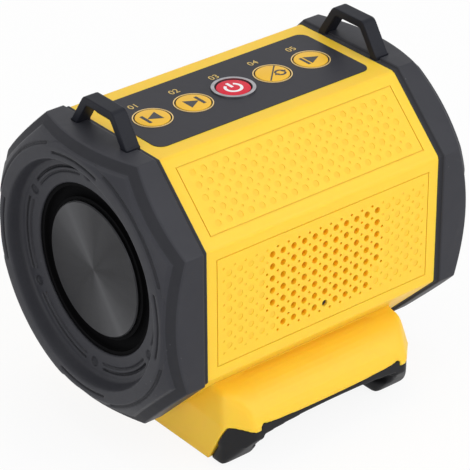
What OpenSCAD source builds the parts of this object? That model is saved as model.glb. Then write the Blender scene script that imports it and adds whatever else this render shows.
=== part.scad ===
// Battery-powered bluetooth speaker: an octagonal housing with a passive radiator in each end cap,
// a driver behind the front grille and a pedestal that takes a slide-on battery.
// X runs along the housing, the front is -Y and +Z is up. The origin is the middle of the footprint.

/* [Housing] */
// Visible length of the housing between the end caps
body_len = 110; // [104:1:130]
// Width of the housing across its flat faces
body_af = 105; // [100:1:120]
// Width of the top, bottom, front and rear flats
flat_w = 53.4; // [50:0.2:58]
// Wall of the housing
wall = 3.4; // [3.2:0.1:4.2]
// Length of the spigot that each end cap slides over
spigot_len = 6; // [5.5:0.5:8]
// Step from the housing's faces down to the spigot
spigot_in = 1.4; // [1:0.1:1.8]

/* [End caps] */
// Length of an end cap from the housing to its crest
cap_len = 18; // [17:0.5:22]
// How far the cap stands proud of the housing
cap_proud = 1.2; // [0.6:0.1:2]
// Width of the lower band beside the housing
cap_band_w = 2; // [1:0.5:3]
// How far the lower band stands proud
cap_band_proud = 0.3; // [0.1:0.1:0.5]
// Radius of the opening in front of the radiator
cap_hole_r = 33.4; // [32.5:0.1:35]
// Thickness of the cap's lip at the opening
cap_lip = 1.3; // [1:0.1:1.8]
// Rise of the grooved ring from the lip to the crest's foot
ring_rise = 1.3; // [0.8:0.1:2]
// Outer radius of the grooved ring
ring_r = 43; // [42:0.2:44]
// Outer radius of the crest
crest_r = 50; // [49:0.2:51]
// Width of the flat top of the crest
crest_w = 4.6; // [3:0.2:5.4]
// Fall of the chamfer from the crest, in degrees
chamfer_deg = 35; // [28:1:40]
// Width of the lowered band along the cap's outer faces
edge_band_w = 4.1; // [3:0.1:5]
// Step from the chamfer down to the lowered band
edge_band_step = 0.7; // [0.4:0.1:1]
// Width and depth of the arc grooves
groove = 0.9; // [0.5:0.1:1]
// Clearance between the cap and what it slides over
cap_gap = 0.1; // [0.05:0.05:0.2]

/* [Strap lugs] */
// Width of a lug along the housing
lug_w = 6.1; // [5:0.1:8]
// Thickness of a lug's bar and legs
lug_t = 3.2; // [2.6:0.1:4]
// Height of a lug above the cap
lug_h = 12.3; // [11:0.1:15]
// Half length of a lug where it meets the cap
lug_foot_half = 16.6; // [15:0.2:19]
// Half length of a lug's top bar
lug_top_half = 8.6; // [7:0.2:10]
// Thickness of the foot plate under the cap
lug_plate = 1.2; // [1:0.1:1.3]

/* [Passive radiators] */
// Radius of the metal disc
disc_r = 26.3; // [24:0.1:27]
// Thickness of the metal disc
disc_t = 1.5; // [1.2:0.1:2]
// Thickness of the rubber surround
surround_t = 1; // [0.8:0.1:1.2]
// Width of the surround's clamped flange
surround_flange = 5.6; // [4:0.2:6]
// Radius of the tuning weight
weight_r = 15; // [10:0.5:20]
// Thickness of the tuning weight
weight_t = 4; // [2:0.5:5]
// Thickness of the frame that closes each end
frame_t = 2.2; // [2:0.1:3]
// Thickness of the end gasket
end_gasket_t = 0.8; // [0.5:0.1:1.2]

/* [Grille panels] */
// Half length of the grille panels
grille_half_len = 50.5; // [49:0.1:51.5]
// Half height of the front and rear panels
grille_half_h = 22.2; // [21:0.1:22.6]
// Half height of the slanted panels
slant_half_h = 13.7; // [13:0.1:14.2]
// Wall left behind a panel
grille_ledge = 1; // [0.8:0.1:1.2]
// Width and depth of the seam round a panel
seam = 0.4; // [0.3:0.1:0.8]
// Pitch of the holes
hole_pitch = 5; // [4.9:0.05:5.1]
// Diameter of the large holes
hole_d = 2.6; // [2:0.1:2.8]
// Diameter of the small holes
dot_d = 1.1; // [0.7:0.1:1.2]
// Depth of the shallow dimples
dimple = 0.2; // [0.15:0.05:0.4]

/* [Controls] */
// Half length of the control panel
panel_half_len = 50; // [48:0.1:51]
// Half width of the control panel
panel_half_w = 20; // [18:0.1:22]
// Corner radius of the control panel
panel_corner = 4; // [3:0.5:7]
// Thickness of the control panel
panel_t = 1; // [0.9:0.05:1.2]
// How far the panel stands above the housing
panel_proud = 0.2; // [0.1:0.05:0.3]
// Pitch of the keys
key_pitch = 18.7; // [18.3:0.1:20]
// Radius of a key's cap
key_r = 6.5; // [6:0.1:6.8]
// How far a key's cap stands above the panel
key_proud = 0.25; // [0.15:0.05:0.8]
// Travel of a key
key_travel = 0.5; // [0.3:0.05:0.5]
// Clearance round a key
key_gap = 0.3; // [0.2:0.05:0.35]
// Width of the power key's metal ring
power_ring_w = 1.3; // [1:0.1:1.8]

/* [Driver] */
// Height of the driver's centre above the housing's axis
driver_rise = 5.5; // [5:0.1:6]
// Half width of the driver's square flange
driver_half = 17; // [16.8:0.1:17.4]
// Half pitch of the driver's screws
driver_screw = 14.2; // [14:0.1:14.6]
// Radius of the sound opening in the housing
sound_r = 15.2; // [15:0.1:15.6]
// Radius of the voice coil's former
coil_r = 5; // [4.8:0.1:5.2]

/* [Pedestal] */
// Height of the housing's underside above the surface
pedestal_h = 17.5; // [17:0.5:22]
// Width of the pedestal
base_w = 92; // [88:1:98]
// Half depth of the pedestal at its skirts
base_half = 58; // [56:0.5:62]
// Half depth of the neck where it meets the housing
neck_half = 40.5; // [38:0.5:44]
// Leg of the chamfered corners
base_corner = 8.8; // [7:0.2:11]
// Lean of the corner facets above the skirt's lower edge, in degrees
facet_lean = 17; // [13:1:22]
// Wall of the pedestal
base_wall = 2.6; // [2.2:0.1:3]
// Rise of the skirt's lower edge above the housing's underside
skirt_rise = 1.3; // [1:0.1:2]
// Bulge of the shelf between the neck and the skirt's lower edge
shelf_bulge = 3.8; // [2:0.1:4.5]
// How far the skirt's lower edge bows down in the middle
skirt_bow = 1.7; // [1:0.1:1.9]
// Drop of the lower edge at the teeth beside the front strip
facet_fall = 2.8; // [2:0.1:3.5]
// Rise of the lower edge from the teeth to the corner facets
facet_rise = 1.8; // [1:0.1:2.4]
// Half width of the front strip between the teeth
notch_half = 34.2; // [33:0.1:35]
// Lean of the side walls inwards above the skirt's lower edge
side_lean = 2.4; // [1:0.1:3]
// Half depth of the front edge of the side walls at the bottom
side_foot = 40.8; // [38:0.2:43]

/* [Battery shoe] */
// Half depth of the shoe's noses at the bottom
nose_foot = 48; // [46:0.5:52]
// Height of the upright lip above the sloping noses
nose_lip = 3.4; // [2.5:0.1:4]
// Half width of the battery channel
channel_half = 30; // [27:0.5:31]
// Depth of the rail grooves
rail_groove = 4; // [3:0.5:5]
// Height of the lip under the rail grooves
rail_lip = 6; // [5:0.5:6.5]
// Height of the rail grooves
rail_groove_h = 5; // [4:0.5:5]
// Thickness of the shoe's roof
shoe_roof = 4; // [3.6:0.1:4.2]
// Thickness of the front strip in the middle
strip_t = 1.5; // [1.2:0.1:2]
// Distance from the centre to the channel's rear stop
channel_stop = 40; // [38:0.5:44]

/* [Boards] */
// Height of the main board above the housing's floor
board_lift = 8.1; // [7:0.1:10]
// Half length of the main board
board_half_len = 42; // [41:0.5:46]
// Half width of the main board
board_half_w = 23; // [22:0.5:24]
// Thickness of the boards
board_t = 1.6; // [1:0.1:2]
// Half length of the key board
key_board_half_len = 46; // [44:0.5:47]
// Half width of the key board
key_board_half_w = 12; // [11.5:0.1:14]
// Height of a key switch's body
switch_h = 2.9; // [2.5:0.1:3.2]

/* [Hidden] */
$fn = 64;

// Overshoot of every cut past the face it opens
eps = 0.5;
// Overlap of fused pieces
fuse = 0.2;
// Radial room of a screw in a clearance hole
hole_slack = 0.2;

// Octagon: apothem, half flat, distance of the slanted faces from the axis
apothem = body_af / 2;
half_flat = flat_w / 2;
slant_dist = (apothem + half_flat) / sqrt(2);
axis_h = pedestal_h + apothem;
inner_apothem = apothem - wall;

// Stations along the housing, measured from its middle
u_body = body_len / 2;
u_spigot = u_body + spigot_len;
u_frame = u_spigot + end_gasket_t;
u_frame_face = u_frame + frame_t;
u_cap_back = u_frame_face + surround_t;
u_lip = u_cap_back + cap_lip;
u_crest = u_body + cap_len;
crest_bevel = 0.5;

// Radiator: the disc sits on the surround's inner lip
disc_lip_drop = 0.6;
u_disc_back = u_frame_face - disc_lip_drop + surround_t;
disc_lip_w = 3;
roll_foot = 0.4;

// End fastening: screws on the slanted corners
frame_boss_r = 4;
frame_boss_len = 14;
frame_boss_at = (slant_dist - wall - frame_boss_r + 1) / sqrt(2);
frame_screw_r = 1.25;
frame_head_r = 2.6;
frame_head_h = 1.8;
screw_slack = 0.05;

// Grilles
grille_t = wall - grille_ledge;
grille_fit = 0.05;
front_rows = 3;
slant_rows = 2;
grille_cols = 9;
sound_cols = 5;

// Controls: heights from the housing's top face
key_hole_r = key_r + key_gap;
key_flange_r = key_hole_r + 0.5;
key_well_r = key_flange_r + key_gap;
key_flange_t = 1;
panel_under = panel_t - panel_proud;
key_rest_gap = 0.1;
key_stem_r = 2.2;
key_stem_len = 2.5;
switch_gap = key_travel + key_rest_gap;
actuator_h = 0.6;
actuator_r = 1.7;
switch_w = 6;
trim_w = 0.4;
trim_at = key_hole_r + 0.3;
trim_seat = 0.3;
trim_proud = 0.15;
ring_at = key_hole_r + 0.3;
ring_seat = 0.5;
ring_proud = 0.6;
key_stem_foot = panel_under + key_rest_gap + key_flange_t + key_stem_len;
key_board_top = key_stem_foot + switch_gap + actuator_h + switch_h;
key_boss_x = key_pitch * 1.5;
key_boss_y = 9;
key_boss_r = 2.6;
key_screw_r = 1;
key_places = [for (i = [-2 : 2]) i * key_pitch];

// Driver: depths from the housing's inner front face
gasket_d = 1.5;
flange_d = 1.5;
basket_d = 8;
basket_wall = 1.2;
basket_hole_r = sound_r - 0.6;
cone_r = sound_r - 3.5;
plate_d = 2.5;
magnet_d = 5.5;
yoke_d = 2.5;
plate_r = 12.5;
magnet_r = 14;
magnet_hole_r = coil_r + 2;
pole_r = coil_r - 0.8;
former_t = 0.4;
winding_t = 0.4;
plate_hole_r = coil_r + winding_t + 0.5;
d_flange = gasket_d + flange_d;
d_plate = d_flange + basket_d + basket_wall;
d_step = d_plate - 2.2;
basket_back_r = plate_r - 2;
step_r = plate_r - 3;
spider_r = basket_hole_r - (basket_hole_r - basket_back_r) * (d_step - d_flange) / (d_plate - d_flange);
cone_foot = d_step - 1.5;
d_magnet = d_plate + plate_d;
d_yoke = d_magnet + magnet_d;
driver_pilot_r = 1.05;
driver_boss_r = 2.4;
cone_t = 0.6;
cone_rim = 0.9;
roll_t = 0.5;
mic_drop = front_rows * hole_pitch;
mic_hole_r = hole_d / 2;
mic_boot_r = 3;
mic_boot_d = 3.5;
mic_r = 2;
mic_d = 2;

// Main board and pedestal fastening
board_z = pedestal_h + wall + board_lift;
board_post_x = board_half_len - 4;
board_post_y = board_half_w - 4;
board_post_r = 3;
board_screw_r = 1;
base_screw_x = 26;
base_screw_y = 13;
base_boss_r = 3.5;
base_boss_h = board_lift - 2;
base_screw_r = 1.4;
base_head_r = 2.9;
base_head_h = 2.2;
head_slack = 0.2;
board_top = board_z + board_t;
radio_at = [24, 4];
radio_half_len = 10;
radio_half_w = 8;
radio_rim = 2;
radio_board_t = 1;
radio_h = 3;
can_x = 24;
can_pitch = 12;
can_r = 5;
can_h = 14;
choke_at = [6, 6];
choke_half = 6;
choke_rim = 0.6;
choke_foot_h = 4;
choke_h = 6.5;
small_head_r = 2;
small_head_h = 1.2;
board_screw_len = 5;
key_screw_len = 4.5;
lead_x = 4;
lead_y = 20;
lead_r = 0.8;
lead_hole_r = 1.2;
wire_r = 0.5;
wire_x = 3;

// Pedestal heights above the surface
base_roof = 1;
shoe_top = pedestal_h - base_roof;
channel_h = shoe_top - shoe_roof;
skirt_z = pedestal_h + skirt_rise;
neck_z = axis_h - (apothem + half_flat - neck_half);
facet_y = base_half - base_corner;
facet_in = 5.4;
facet_z = skirt_z - facet_fall;
side_slope = (facet_y - side_foot) / facet_z;
shoulder_r = 3;
tooth_at = 14.4;
plan_round = 4;
shoe_gap = 0.15;
shoe_inset = 0.3;
skirt_half = base_w / 2 - base_corner + 1;
bow_r = (skirt_half * skirt_half + skirt_bow * skirt_bow) / (2 * skirt_bow);
mouth_rise = 1.6;
mouth_r = (channel_half * channel_half + mouth_rise * mouth_rise) / (2 * mouth_rise);
mouth_depth = 16;
mouth_flare = 3;

// Terminals on the shoe's roof
block_half_w = 14;
block_front = 8;
block_len = 26;
block_floor = 4;
block_neck_inset = 3;
blade_t = 0.8;
blade_h = 5;
blade_len = 16;
blade_seat = 6;
blade_pitch = 6;
blade_slack = 0.1;
blade_z = (block_floor + channel_h - blade_h) / 2;

// Octagon outline, moved inwards by an inset
function octagon(inset) =
  let (a = apothem - inset, h = half_flat - inset * (sqrt(2) - 1))
  [[h, a], [a, h], [a, -h], [h, -a], [-h, -a], [-a, -h], [-a, h], [-h, a]];

// Points of an arc in the plane
function arc(centre, r, from, to, steps) =
  [for (i = [0 : steps]) let (a = from + (to - from) * i / steps) centre + r * [cos(a), sin(a)]];

// Points of a rounded corner at q between p and s
function corner(p, q, s, r, steps) =
  let (a = (p - q) / norm(p - q), b = (s - q) / norm(s - q), half = acos(a * b) / 2,
       c = q + (a + b) / norm(a + b) * r / sin(half), turn = cross(a, b) > 0 ? -1 : 1,
       start = q + a * r / tan(half) - c, from = atan2(start[1], start[0]))
  arc(c, r, from, from + turn * (180 - 2 * half), steps);

module on_axis() {
  translate([0, 0, axis_h]) children();
}

// A face of the octagon: local +Z leaves the housing, local +Y runs up the face
module on_face(angle, distance) {
  on_axis() rotate([angle, 0, 0]) translate([0, 0, distance]) children();
}

// The driver's place: local +Z runs inwards from the housing's inner front face
module on_driver() {
  translate([0, -inner_apothem, axis_h + driver_rise]) rotate([-90, 0, 0]) children();
}

// An outline in (Y, Z), extruded along X from one station to another
module along_x(from, to) {
  translate([from, 0, 0]) rotate([90, 0, 90]) linear_extrude(to - from) children();
}

// An outline in (X, Z), extruded along Y from one station to another
module along_y(from, to) {
  translate([0, to, 0]) rotate([90, 0, 0]) linear_extrude(to - from) children();
}

module octagon_bar(inset, from, to) {
  on_axis() along_x(from, to) polygon(octagon(inset));
}

// A profile in (radius, station), turned about the housing's axis
module turned(angle = 360) {
  on_axis() rotate([0, 90, 0]) rotate_extrude(angle = angle) children();
}

module ring(outer_r, inner_r, h) {
  difference() {
    cylinder(r = outer_r, h = h);
    translate([0, 0, -eps]) cylinder(r = inner_r, h = h + 2 * eps);
  }
}

module block(half_x, half_y, from, to) {
  translate([-half_x, -half_y, from]) cube([2 * half_x, 2 * half_y, to - from]);
}

module rounded_plate(half_x, half_y, corner, h) {
  block(half_x - corner, half_y, 0, h);
  block(half_x, half_y - corner, 0, h);
  for (x = [-1, 1], y = [-1, 1])
    translate([x * (half_x - corner), y * (half_y - corner), 0]) cylinder(r = corner, h = h);
}

module at_corners(x, y) {
  for (i = [-1, 1], j = [-1, 1]) translate([i * x, j * y, 0]) children();
}

// A pan-head screw along +Z with its head's seat at zero
module screw(shank_r, shank_len, head_r, head_h) {
  translate([0, 0, -head_h]) cylinder(r = head_r, h = head_h);
  translate([0, 0, -eps / 2]) cylinder(r = shank_r, h = shank_len + eps / 2);
}

module on_frame_screws(station) {
  on_axis() for (y = [-1, 1], z = [-1, 1])
    translate([station, y * frame_boss_at, z * frame_boss_at]) rotate([0, -90, 0]) children();
}

module on_board_posts(z) {
  translate([0, 0, z]) at_corners(board_post_x, board_post_y) children();
}

module on_base_screws(z) {
  translate([0, 0, z]) at_corners(base_screw_x, base_screw_y) children();
}

module on_key_bosses(drop) {
  translate([0, 0, axis_h + apothem - drop]) at_corners(key_boss_x, key_boss_y) children();
}

module on_leads(z) {
  for (i = [-1, 1]) translate([i * lead_x, lead_y, z]) children();
}

lug_plate_half = lug_foot_half + 1.6;
lug_plate_w = spigot_len - 0.8;
lug_u = u_body + 0.5;
lug_screw_y = 5;
lug_screw_r = 1;
lug_boss_r = 3;
lug_boss_h = 3;
lug_head_r = 1.9;
lug_head_seat = 0.5;
lug_screw_len = 3.4;

module on_lug_screws(z) {
  for (s = [-1, 1], y = [-1, 1])
    translate([s * (u_body + spigot_len / 2), y * lug_screw_y, axis_h + z]) children();
}

module housing_shell() {
  difference() {
    union() {
      octagon_bar(0, -u_body, u_body);
      octagon_bar(spigot_in, -u_spigot, u_spigot);
    }
    octagon_bar(wall, -u_spigot - eps, u_spigot + eps);
  }
}

module housing_bosses() {
  for (s = [0, 1]) mirror([s, 0, 0]) intersection() {
    on_frame_screws(u_spigot) cylinder(r = frame_boss_r, h = frame_boss_len);
    octagon_bar(spigot_in + fuse, 0, u_spigot);
  }
  on_board_posts(pedestal_h + wall - fuse) cylinder(r = board_post_r, h = board_lift + fuse);
  on_base_screws(pedestal_h + wall - fuse) cylinder(r = base_boss_r, h = base_boss_h + fuse);
  on_key_bosses(key_board_top) cylinder(r = key_boss_r, h = key_board_top - wall + fuse);
  on_lug_screws(inner_apothem - lug_boss_h) cylinder(r = lug_boss_r, h = lug_boss_h + fuse);
  on_driver() translate([0, 0, -fuse]) at_corners(driver_screw, driver_screw)
    cylinder(r = driver_boss_r, h = gasket_d + fuse);
}

module grille_recess(half_h) {
  block(grille_half_len + grille_fit, half_h + grille_fit, -grille_t, eps);
}

module main_housing() {
  color("gold") difference() {
    union() {
      housing_shell();
      housing_bosses();
    }
    on_face(90, apothem) grille_recess(grille_half_h);
    on_face(-90, apothem) grille_recess(grille_half_h);
    on_face(45, slant_dist) grille_recess(slant_half_h);
    on_face(-45, slant_dist) grille_recess(slant_half_h);
    on_face(0, apothem - panel_under)
      rounded_plate(panel_half_len + grille_fit, panel_half_w + grille_fit, panel_corner, panel_under + eps);
    for (x = key_places)
      translate([x, 0, axis_h + inner_apothem - eps]) cylinder(r = key_well_r, h = wall + 2 * eps);
    on_driver() {
      translate([0, 0, -wall]) cylinder(r = sound_r, h = wall + eps);
      translate([0, 0, -grille_ledge * 0.6]) at_corners(driver_screw, driver_screw)
        cylinder(r = driver_pilot_r, h = gasket_d + wall);
    }
    on_axis() translate([0, -inner_apothem + eps, -mic_drop]) rotate([90, 0, 0])
      cylinder(r = mic_hole_r + screw_slack, h = wall);
    for (s = [0, 1]) mirror([s, 0, 0]) translate([eps, 0, 0]) on_frame_screws(u_spigot)
      cylinder(r = frame_screw_r + screw_slack, h = frame_boss_len - 2);
    on_board_posts(board_z - board_screw_len - 1)
      cylinder(r = board_screw_r + screw_slack, h = board_screw_len + 1 + eps);
    on_base_screws(pedestal_h - eps)
      cylinder(r = base_screw_r + screw_slack, h = wall + base_boss_h - 1 + eps);
    on_key_bosses(key_board_top + eps)
      cylinder(r = key_screw_r + screw_slack, h = key_screw_len + 0.5 + eps);
    on_lug_screws(inner_apothem - lug_boss_h + 0.6)
      cylinder(r = lug_screw_r + screw_slack, h = wall + lug_boss_h);
    on_leads(pedestal_h - eps) cylinder(r = lead_hole_r, h = wall + 2 * eps);
  }
}

// Whether a large hole, or the dot up and to the right of it, lies in the open sound field
function sound_hole(i, j) =
  abs(i) <= sound_cols && abs(j) <= front_rows && !(abs(i) == sound_cols && j <= 1 - front_rows);
function sound_dot(i, j) =
  abs(i + 0.5) < sound_cols && abs(j + 0.5) <= front_rows + 0.5
  || abs(i + 0.5) == sound_cols + 0.5 && abs(j + 0.5) < front_rows - 1;

// A grille panel on its face: shallow dimples all over, and a sound field where it is open
module grille(half_h, rows, edge_dots, open) {
  difference() {
    union() {
      block(grille_half_len, half_h, -grille_t, -seam);
      block(grille_half_len - seam, half_h - seam, -seam - 0.1, 0);
    }
    for (i = [-grille_cols : grille_cols], j = [-rows : rows])
      translate([i * hole_pitch, j * hole_pitch, open && sound_hole(i, j) ? -grille_t - eps : -dimple])
        cylinder(d = hole_d, h = grille_t + 2 * eps, $fn = 24);
    for (i = [-grille_cols - edge_dots : grille_cols - 1 + edge_dots],
         j = [-rows - edge_dots : rows - 1 + edge_dots])
      translate([(i + 0.5) * hole_pitch, (j + 0.5) * hole_pitch, open && sound_dot(i, j) ? -1 : -dimple])
        cylinder(d = dot_d, h = 1 + eps, $fn = 16);
  }
}

module front_grille() {
  color("gold") on_face(90, apothem) grille(grille_half_h, front_rows, 1, true);
}

module rear_grille() {
  color("gold") on_face(-90, apothem) grille(grille_half_h, front_rows, 1, false);
}

module upper_grille() {
  color("gold") on_face(45, slant_dist) grille(slant_half_h, slant_rows, 0, false);
}

module rear_upper_grille() {
  color("gold") on_face(-45, slant_dist) grille(slant_half_h, slant_rows, 0, false);
}

module control_panel() {
  color("#444449") on_face(0, apothem - panel_under) difference() {
    rounded_plate(panel_half_len, panel_half_w, panel_corner, panel_t);
    for (x = key_places)
      translate([x, 0, -eps]) cylinder(r = key_hole_r, h = panel_t + 2 * eps);
    for (x = key_places)
      if (x != 0) translate([x, 0, panel_t - trim_seat])
        ring(trim_at + trim_w + grille_fit, trim_at - grille_fit, trim_seat + eps);
    translate([0, 0, panel_t - ring_seat])
      ring(ring_at + power_ring_w + grille_fit, ring_at - grille_fit, ring_seat + eps);
  }
}

module power_ring() {
  color("silver") on_face(0, apothem + panel_proud - ring_seat)
    ring(ring_at + power_ring_w, ring_at, ring_seat + ring_proud);
}

module key_trim_rings() {
  color("goldenrod") on_face(0, apothem + panel_proud - trim_seat) for (x = key_places)
    if (x != 0) translate([x, 0, 0]) ring(trim_at + trim_w, trim_at, trim_seat + trim_proud);
}

// A key at its place in the row: cap, retaining flange under the panel and stem over its switch
module key(index) {
  flange_top = apothem - panel_under - key_rest_gap;
  on_axis() translate([key_places[index], 0, flange_top]) {
    translate([0, 0, -0.1]) cylinder(r = key_r, h = 0.1 + key_rest_gap + panel_t + key_proud);
    translate([0, 0, -key_flange_t]) cylinder(r = key_flange_r, h = key_flange_t);
    translate([0, 0, -key_flange_t - key_stem_len]) cylinder(r = key_stem_r, h = key_stem_len + 0.1);
  }
}

module previous_key() {
  color("goldenrod") key(0);
}

module next_key() {
  color("goldenrod") key(1);
}

module power_key() {
  color("crimson") key(2);
}

module mode_key() {
  color("goldenrod") key(3);
}

module play_key() {
  color("goldenrod") key(4);
}

module key_board() {
  color("darkgreen") difference() {
    translate([0, 0, axis_h + apothem - key_board_top])
      block(key_board_half_len, key_board_half_w, -board_t, 0);
    on_key_bosses(key_board_top + board_t + eps)
      cylinder(r = key_screw_r + hole_slack, h = board_t + 2 * eps);
  }
}

module key_switches() {
  color("dimgray") for (x = key_places) translate([x, 0, axis_h + apothem - key_board_top]) {
    block(switch_w / 2, switch_w / 2, 0, switch_h);
    cylinder(r = actuator_r, h = switch_h + actuator_h);
  }
}

module key_board_screws() {
  color("silver") on_key_bosses(key_board_top + board_t)
    screw(key_screw_r, board_t + key_screw_len, small_head_r, small_head_h);
}

// The turned outline of an end cap in (radius, station)
module cap_outline() {
  reach = apothem + half_flat;
  fall = tan(chamfer_deg);
  u_ring = u_lip + ring_rise;
  bevel = crest_bevel;
  polygon([
    [cap_hole_r, u_body], [reach, u_body], [reach, u_crest - (reach - crest_r) * fall],
    [crest_r, u_crest - bevel * fall], [crest_r - bevel, u_crest],
    [crest_r - bevel - crest_w, u_crest], [crest_r - 2 * bevel - crest_w, u_crest - bevel],
    [ring_r, u_ring], [cap_hole_r + bevel, u_lip], [cap_hole_r, u_lip - bevel]
  ]);
}

// Arc grooves with round marks on the ring, short grooves on the crest over the flats,
// and grooves along the crest's outer edge over the slanted faces
module cap_grooves() {
  arcs = 6;
  step = 360 / arcs;
  mark_r = 1.9;
  mid_r = (cap_hole_r + ring_r) / 2 + 0.9;
  floor_u = u_lip + ring_rise * (mid_r - cap_hole_r) / (ring_r - cap_hole_r) - groove;
  crest_mid = crest_r - crest_bevel - crest_w / 2;
  flat_arc = 33;
  slant_arc = 52;
  for (k = [0 : arcs - 1]) on_axis() rotate([k * step, 0, 0]) rotate([0, 90, 0]) {
    for (r = [mid_r - 1, mid_r + 1])
      rotate([0, 0, step * 0.12]) rotate_extrude(angle = step * 0.76)
        translate([r - groove / 2, floor_u]) square([groove, cap_len]);
    translate([mid_r, 0, floor_u]) cylinder(r = mark_r, h = cap_len);
  }
  for (k = [0 : 3]) on_axis() rotate([k * 90, 0, 0]) rotate([0, 90, 0]) {
    rotate([0, 0, -flat_arc / 2]) rotate_extrude(angle = flat_arc)
      translate([crest_mid - groove / 2, u_crest - groove]) square([groove, cap_len]);
    rotate([0, 0, 45 - slant_arc / 2]) rotate_extrude(angle = slant_arc)
      translate([crest_r, u_crest - 1.5 * groove]) square([groove, cap_len]);
  }
}

// The lowered band round the chamfer, outside an octagon parallel to the cap's faces
module cap_edge_band() {
  reach = apothem + half_flat;
  fall = tan(chamfer_deg);
  drop = crest_bevel * fall + edge_band_step;
  difference() {
    turned() polygon([
      [crest_r - (drop + eps) / fall, u_crest + eps], [reach, u_crest - drop - (reach - crest_r) * fall],
      [reach, u_crest + eps]
    ]);
    octagon_bar(edge_band_w - cap_proud, u_body, u_crest + 2 * eps);
  }
}

module lug_slots() {
  slack = cap_gap;
  top = apothem + cap_proud;
  leg = lug_leg_w + 2 * slack;
  on_axis() {
    translate([u_body + 0.4 - slack, -lug_plate_half - slack, apothem - spigot_in - eps])
      cube([lug_plate_w + 2 * slack, 2 * (lug_plate_half + slack), lug_plate + slack + eps]);
    for (s = [0, 1]) mirror([0, s, 0])
      translate([lug_u - slack, lug_foot_half - lug_leg_w - slack, apothem - spigot_in])
        cube([lug_w + 2 * slack, leg, top]);
  }
}

// Width of a lug's leg along Y where it enters the cap
lug_lean = (lug_foot_half - lug_top_half) / lug_h;
lug_leg_w = lug_t * sqrt(1 + lug_lean * lug_lean);

module end_cap() {
  difference() {
    intersection() {
      union() {
        octagon_bar(-cap_band_proud, u_body, u_crest);
        octagon_bar(-cap_proud, u_body + cap_band_w, u_crest);
      }
      turned() cap_outline();
    }
    octagon_bar(spigot_in - cap_gap, u_body - eps, u_cap_back);
    on_frame_screws(u_frame_face + frame_head_h + head_slack)
      cylinder(r = frame_head_r + head_slack, h = frame_head_h + eps);
    cap_grooves();
    cap_edge_band();
    lug_slots();
  }
}

module right_end_cap() {
  color("#46464b") end_cap();
}

module left_end_cap() {
  color("#46464b") mirror([1, 0, 0]) end_cap();
}

// The splayed outline of a lug in (Y, Z), with rounded upper corners
module lug_outline(foot, top_half, low, high, corner_r) {
  left = [[-foot, low], [-top_half, high], [top_half, high]];
  right = [[-top_half, high], [top_half, high], [foot, low]];
  polygon(concat(
    [left[0]], corner(left[0], left[1], left[2], corner_r, 6),
    corner(right[0], right[1], right[2], corner_r, 6), [right[2]]
  ));
}

// A strap lug: a splayed loop whose legs pass through the cap to a screwed foot plate
module strap_lug() {
  cap_top = apothem + cap_proud;
  seat = apothem - spigot_in;
  inner_foot = lug_foot_half - lug_leg_w;
  inner_top = lug_top_half - lug_leg_w + lug_t * lug_lean;
  difference() {
    union() {
      on_axis() along_x(lug_u, lug_u + lug_w) difference() {
        union() {
          lug_outline(lug_foot_half, lug_top_half, cap_top, cap_top + lug_h, 2.5);
          for (s = [-1, 1])
            translate([s * (lug_foot_half - lug_leg_w / 2) - lug_leg_w / 2, seat + lug_plate / 2])
              square([lug_leg_w, cap_top - seat]);
        }
        lug_outline(inner_foot, inner_top, cap_top, cap_top + lug_h - lug_t, 1.2);
        translate([-inner_foot, seat]) square([2 * inner_foot, cap_top - seat + 0.01]);
      }
      on_axis() translate([u_body + 0.4, -lug_plate_half, seat])
        cube([lug_plate_w, 2 * lug_plate_half, lug_plate]);
    }
    on_lug_screws(seat - eps) cylinder(r = lug_screw_r + hole_slack, h = lug_plate + 2 * eps);
    on_lug_screws(seat + lug_head_seat) cylinder(r = lug_head_r + head_slack, h = lug_plate);
  }
}

module right_strap_lug() {
  color("#3c3c40") strap_lug();
}

module left_strap_lug() {
  color("#3c3c40") mirror([1, 0, 0]) strap_lug();
}

// Flat-head screws sunk in the foot plates
module lug_screws() {
  color("silver") on_lug_screws(apothem - spigot_in + lug_head_seat) {
    cylinder(r = lug_head_r, h = lug_plate - lug_head_seat);
    translate([0, 0, -lug_head_seat - lug_screw_len])
      cylinder(r = lug_screw_r, h = lug_head_seat + lug_screw_len + fuse);
  }
}

module end_frame() {
  difference() {
    octagon_bar(spigot_in, u_frame, u_frame_face);
    turned() translate([0, u_frame - eps]) square([cap_hole_r + 0.6, frame_t + 2 * eps]);
    translate([eps, 0, 0]) on_frame_screws(u_frame_face)
      cylinder(r = frame_screw_r + hole_slack, h = frame_t + 2 * eps);
  }
}

module right_end_frame() {
  color("#333338") end_frame();
}

module left_end_frame() {
  color("#333338") mirror([1, 0, 0]) end_frame();
}

module end_gasket() {
  difference() {
    octagon_bar(spigot_in, u_spigot, u_frame);
    octagon_bar(wall, u_spigot - eps, u_frame + eps);
  }
}

module right_end_gasket() {
  color("#1d1d1f") end_gasket();
}

module left_end_gasket() {
  color("#1d1d1f") mirror([1, 0, 0]) end_gasket();
}

module frame_screws() {
  on_frame_screws(u_frame_face)
    screw(frame_screw_r, frame_t + end_gasket_t + frame_boss_len - 4, frame_head_r, frame_head_h);
}

module right_frame_screws() {
  color("silver") frame_screws();
}

module left_frame_screws() {
  color("silver") mirror([1, 0, 0]) frame_screws();
}

// Rubber surround: clamped flange, an inward roll and the lip that carries the disc
module radiator_surround() {
  outer_r = cap_hole_r - roll_foot;
  inner_r = disc_r + roll_foot;
  mid = (outer_r + inner_r) / 2;
  big = (outer_r - inner_r) / 2;
  small = big - surround_t;
  u_lip_back = u_disc_back - surround_t;
  flange_r = cap_hole_r + surround_flange;
  steps = 12;
  turned() polygon(concat(
    [[flange_r, u_frame_face], [flange_r, u_cap_back], [mid + small, u_cap_back]],
    arc([mid, u_lip_back], small, 0, -180, steps),
    [[mid - small, u_disc_back], [inner_r - disc_lip_w, u_disc_back], [inner_r - disc_lip_w, u_lip_back]],
    arc([mid, u_lip_back], big, -180, 0, steps),
    [[outer_r, u_frame_face]]
  ));
}

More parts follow.
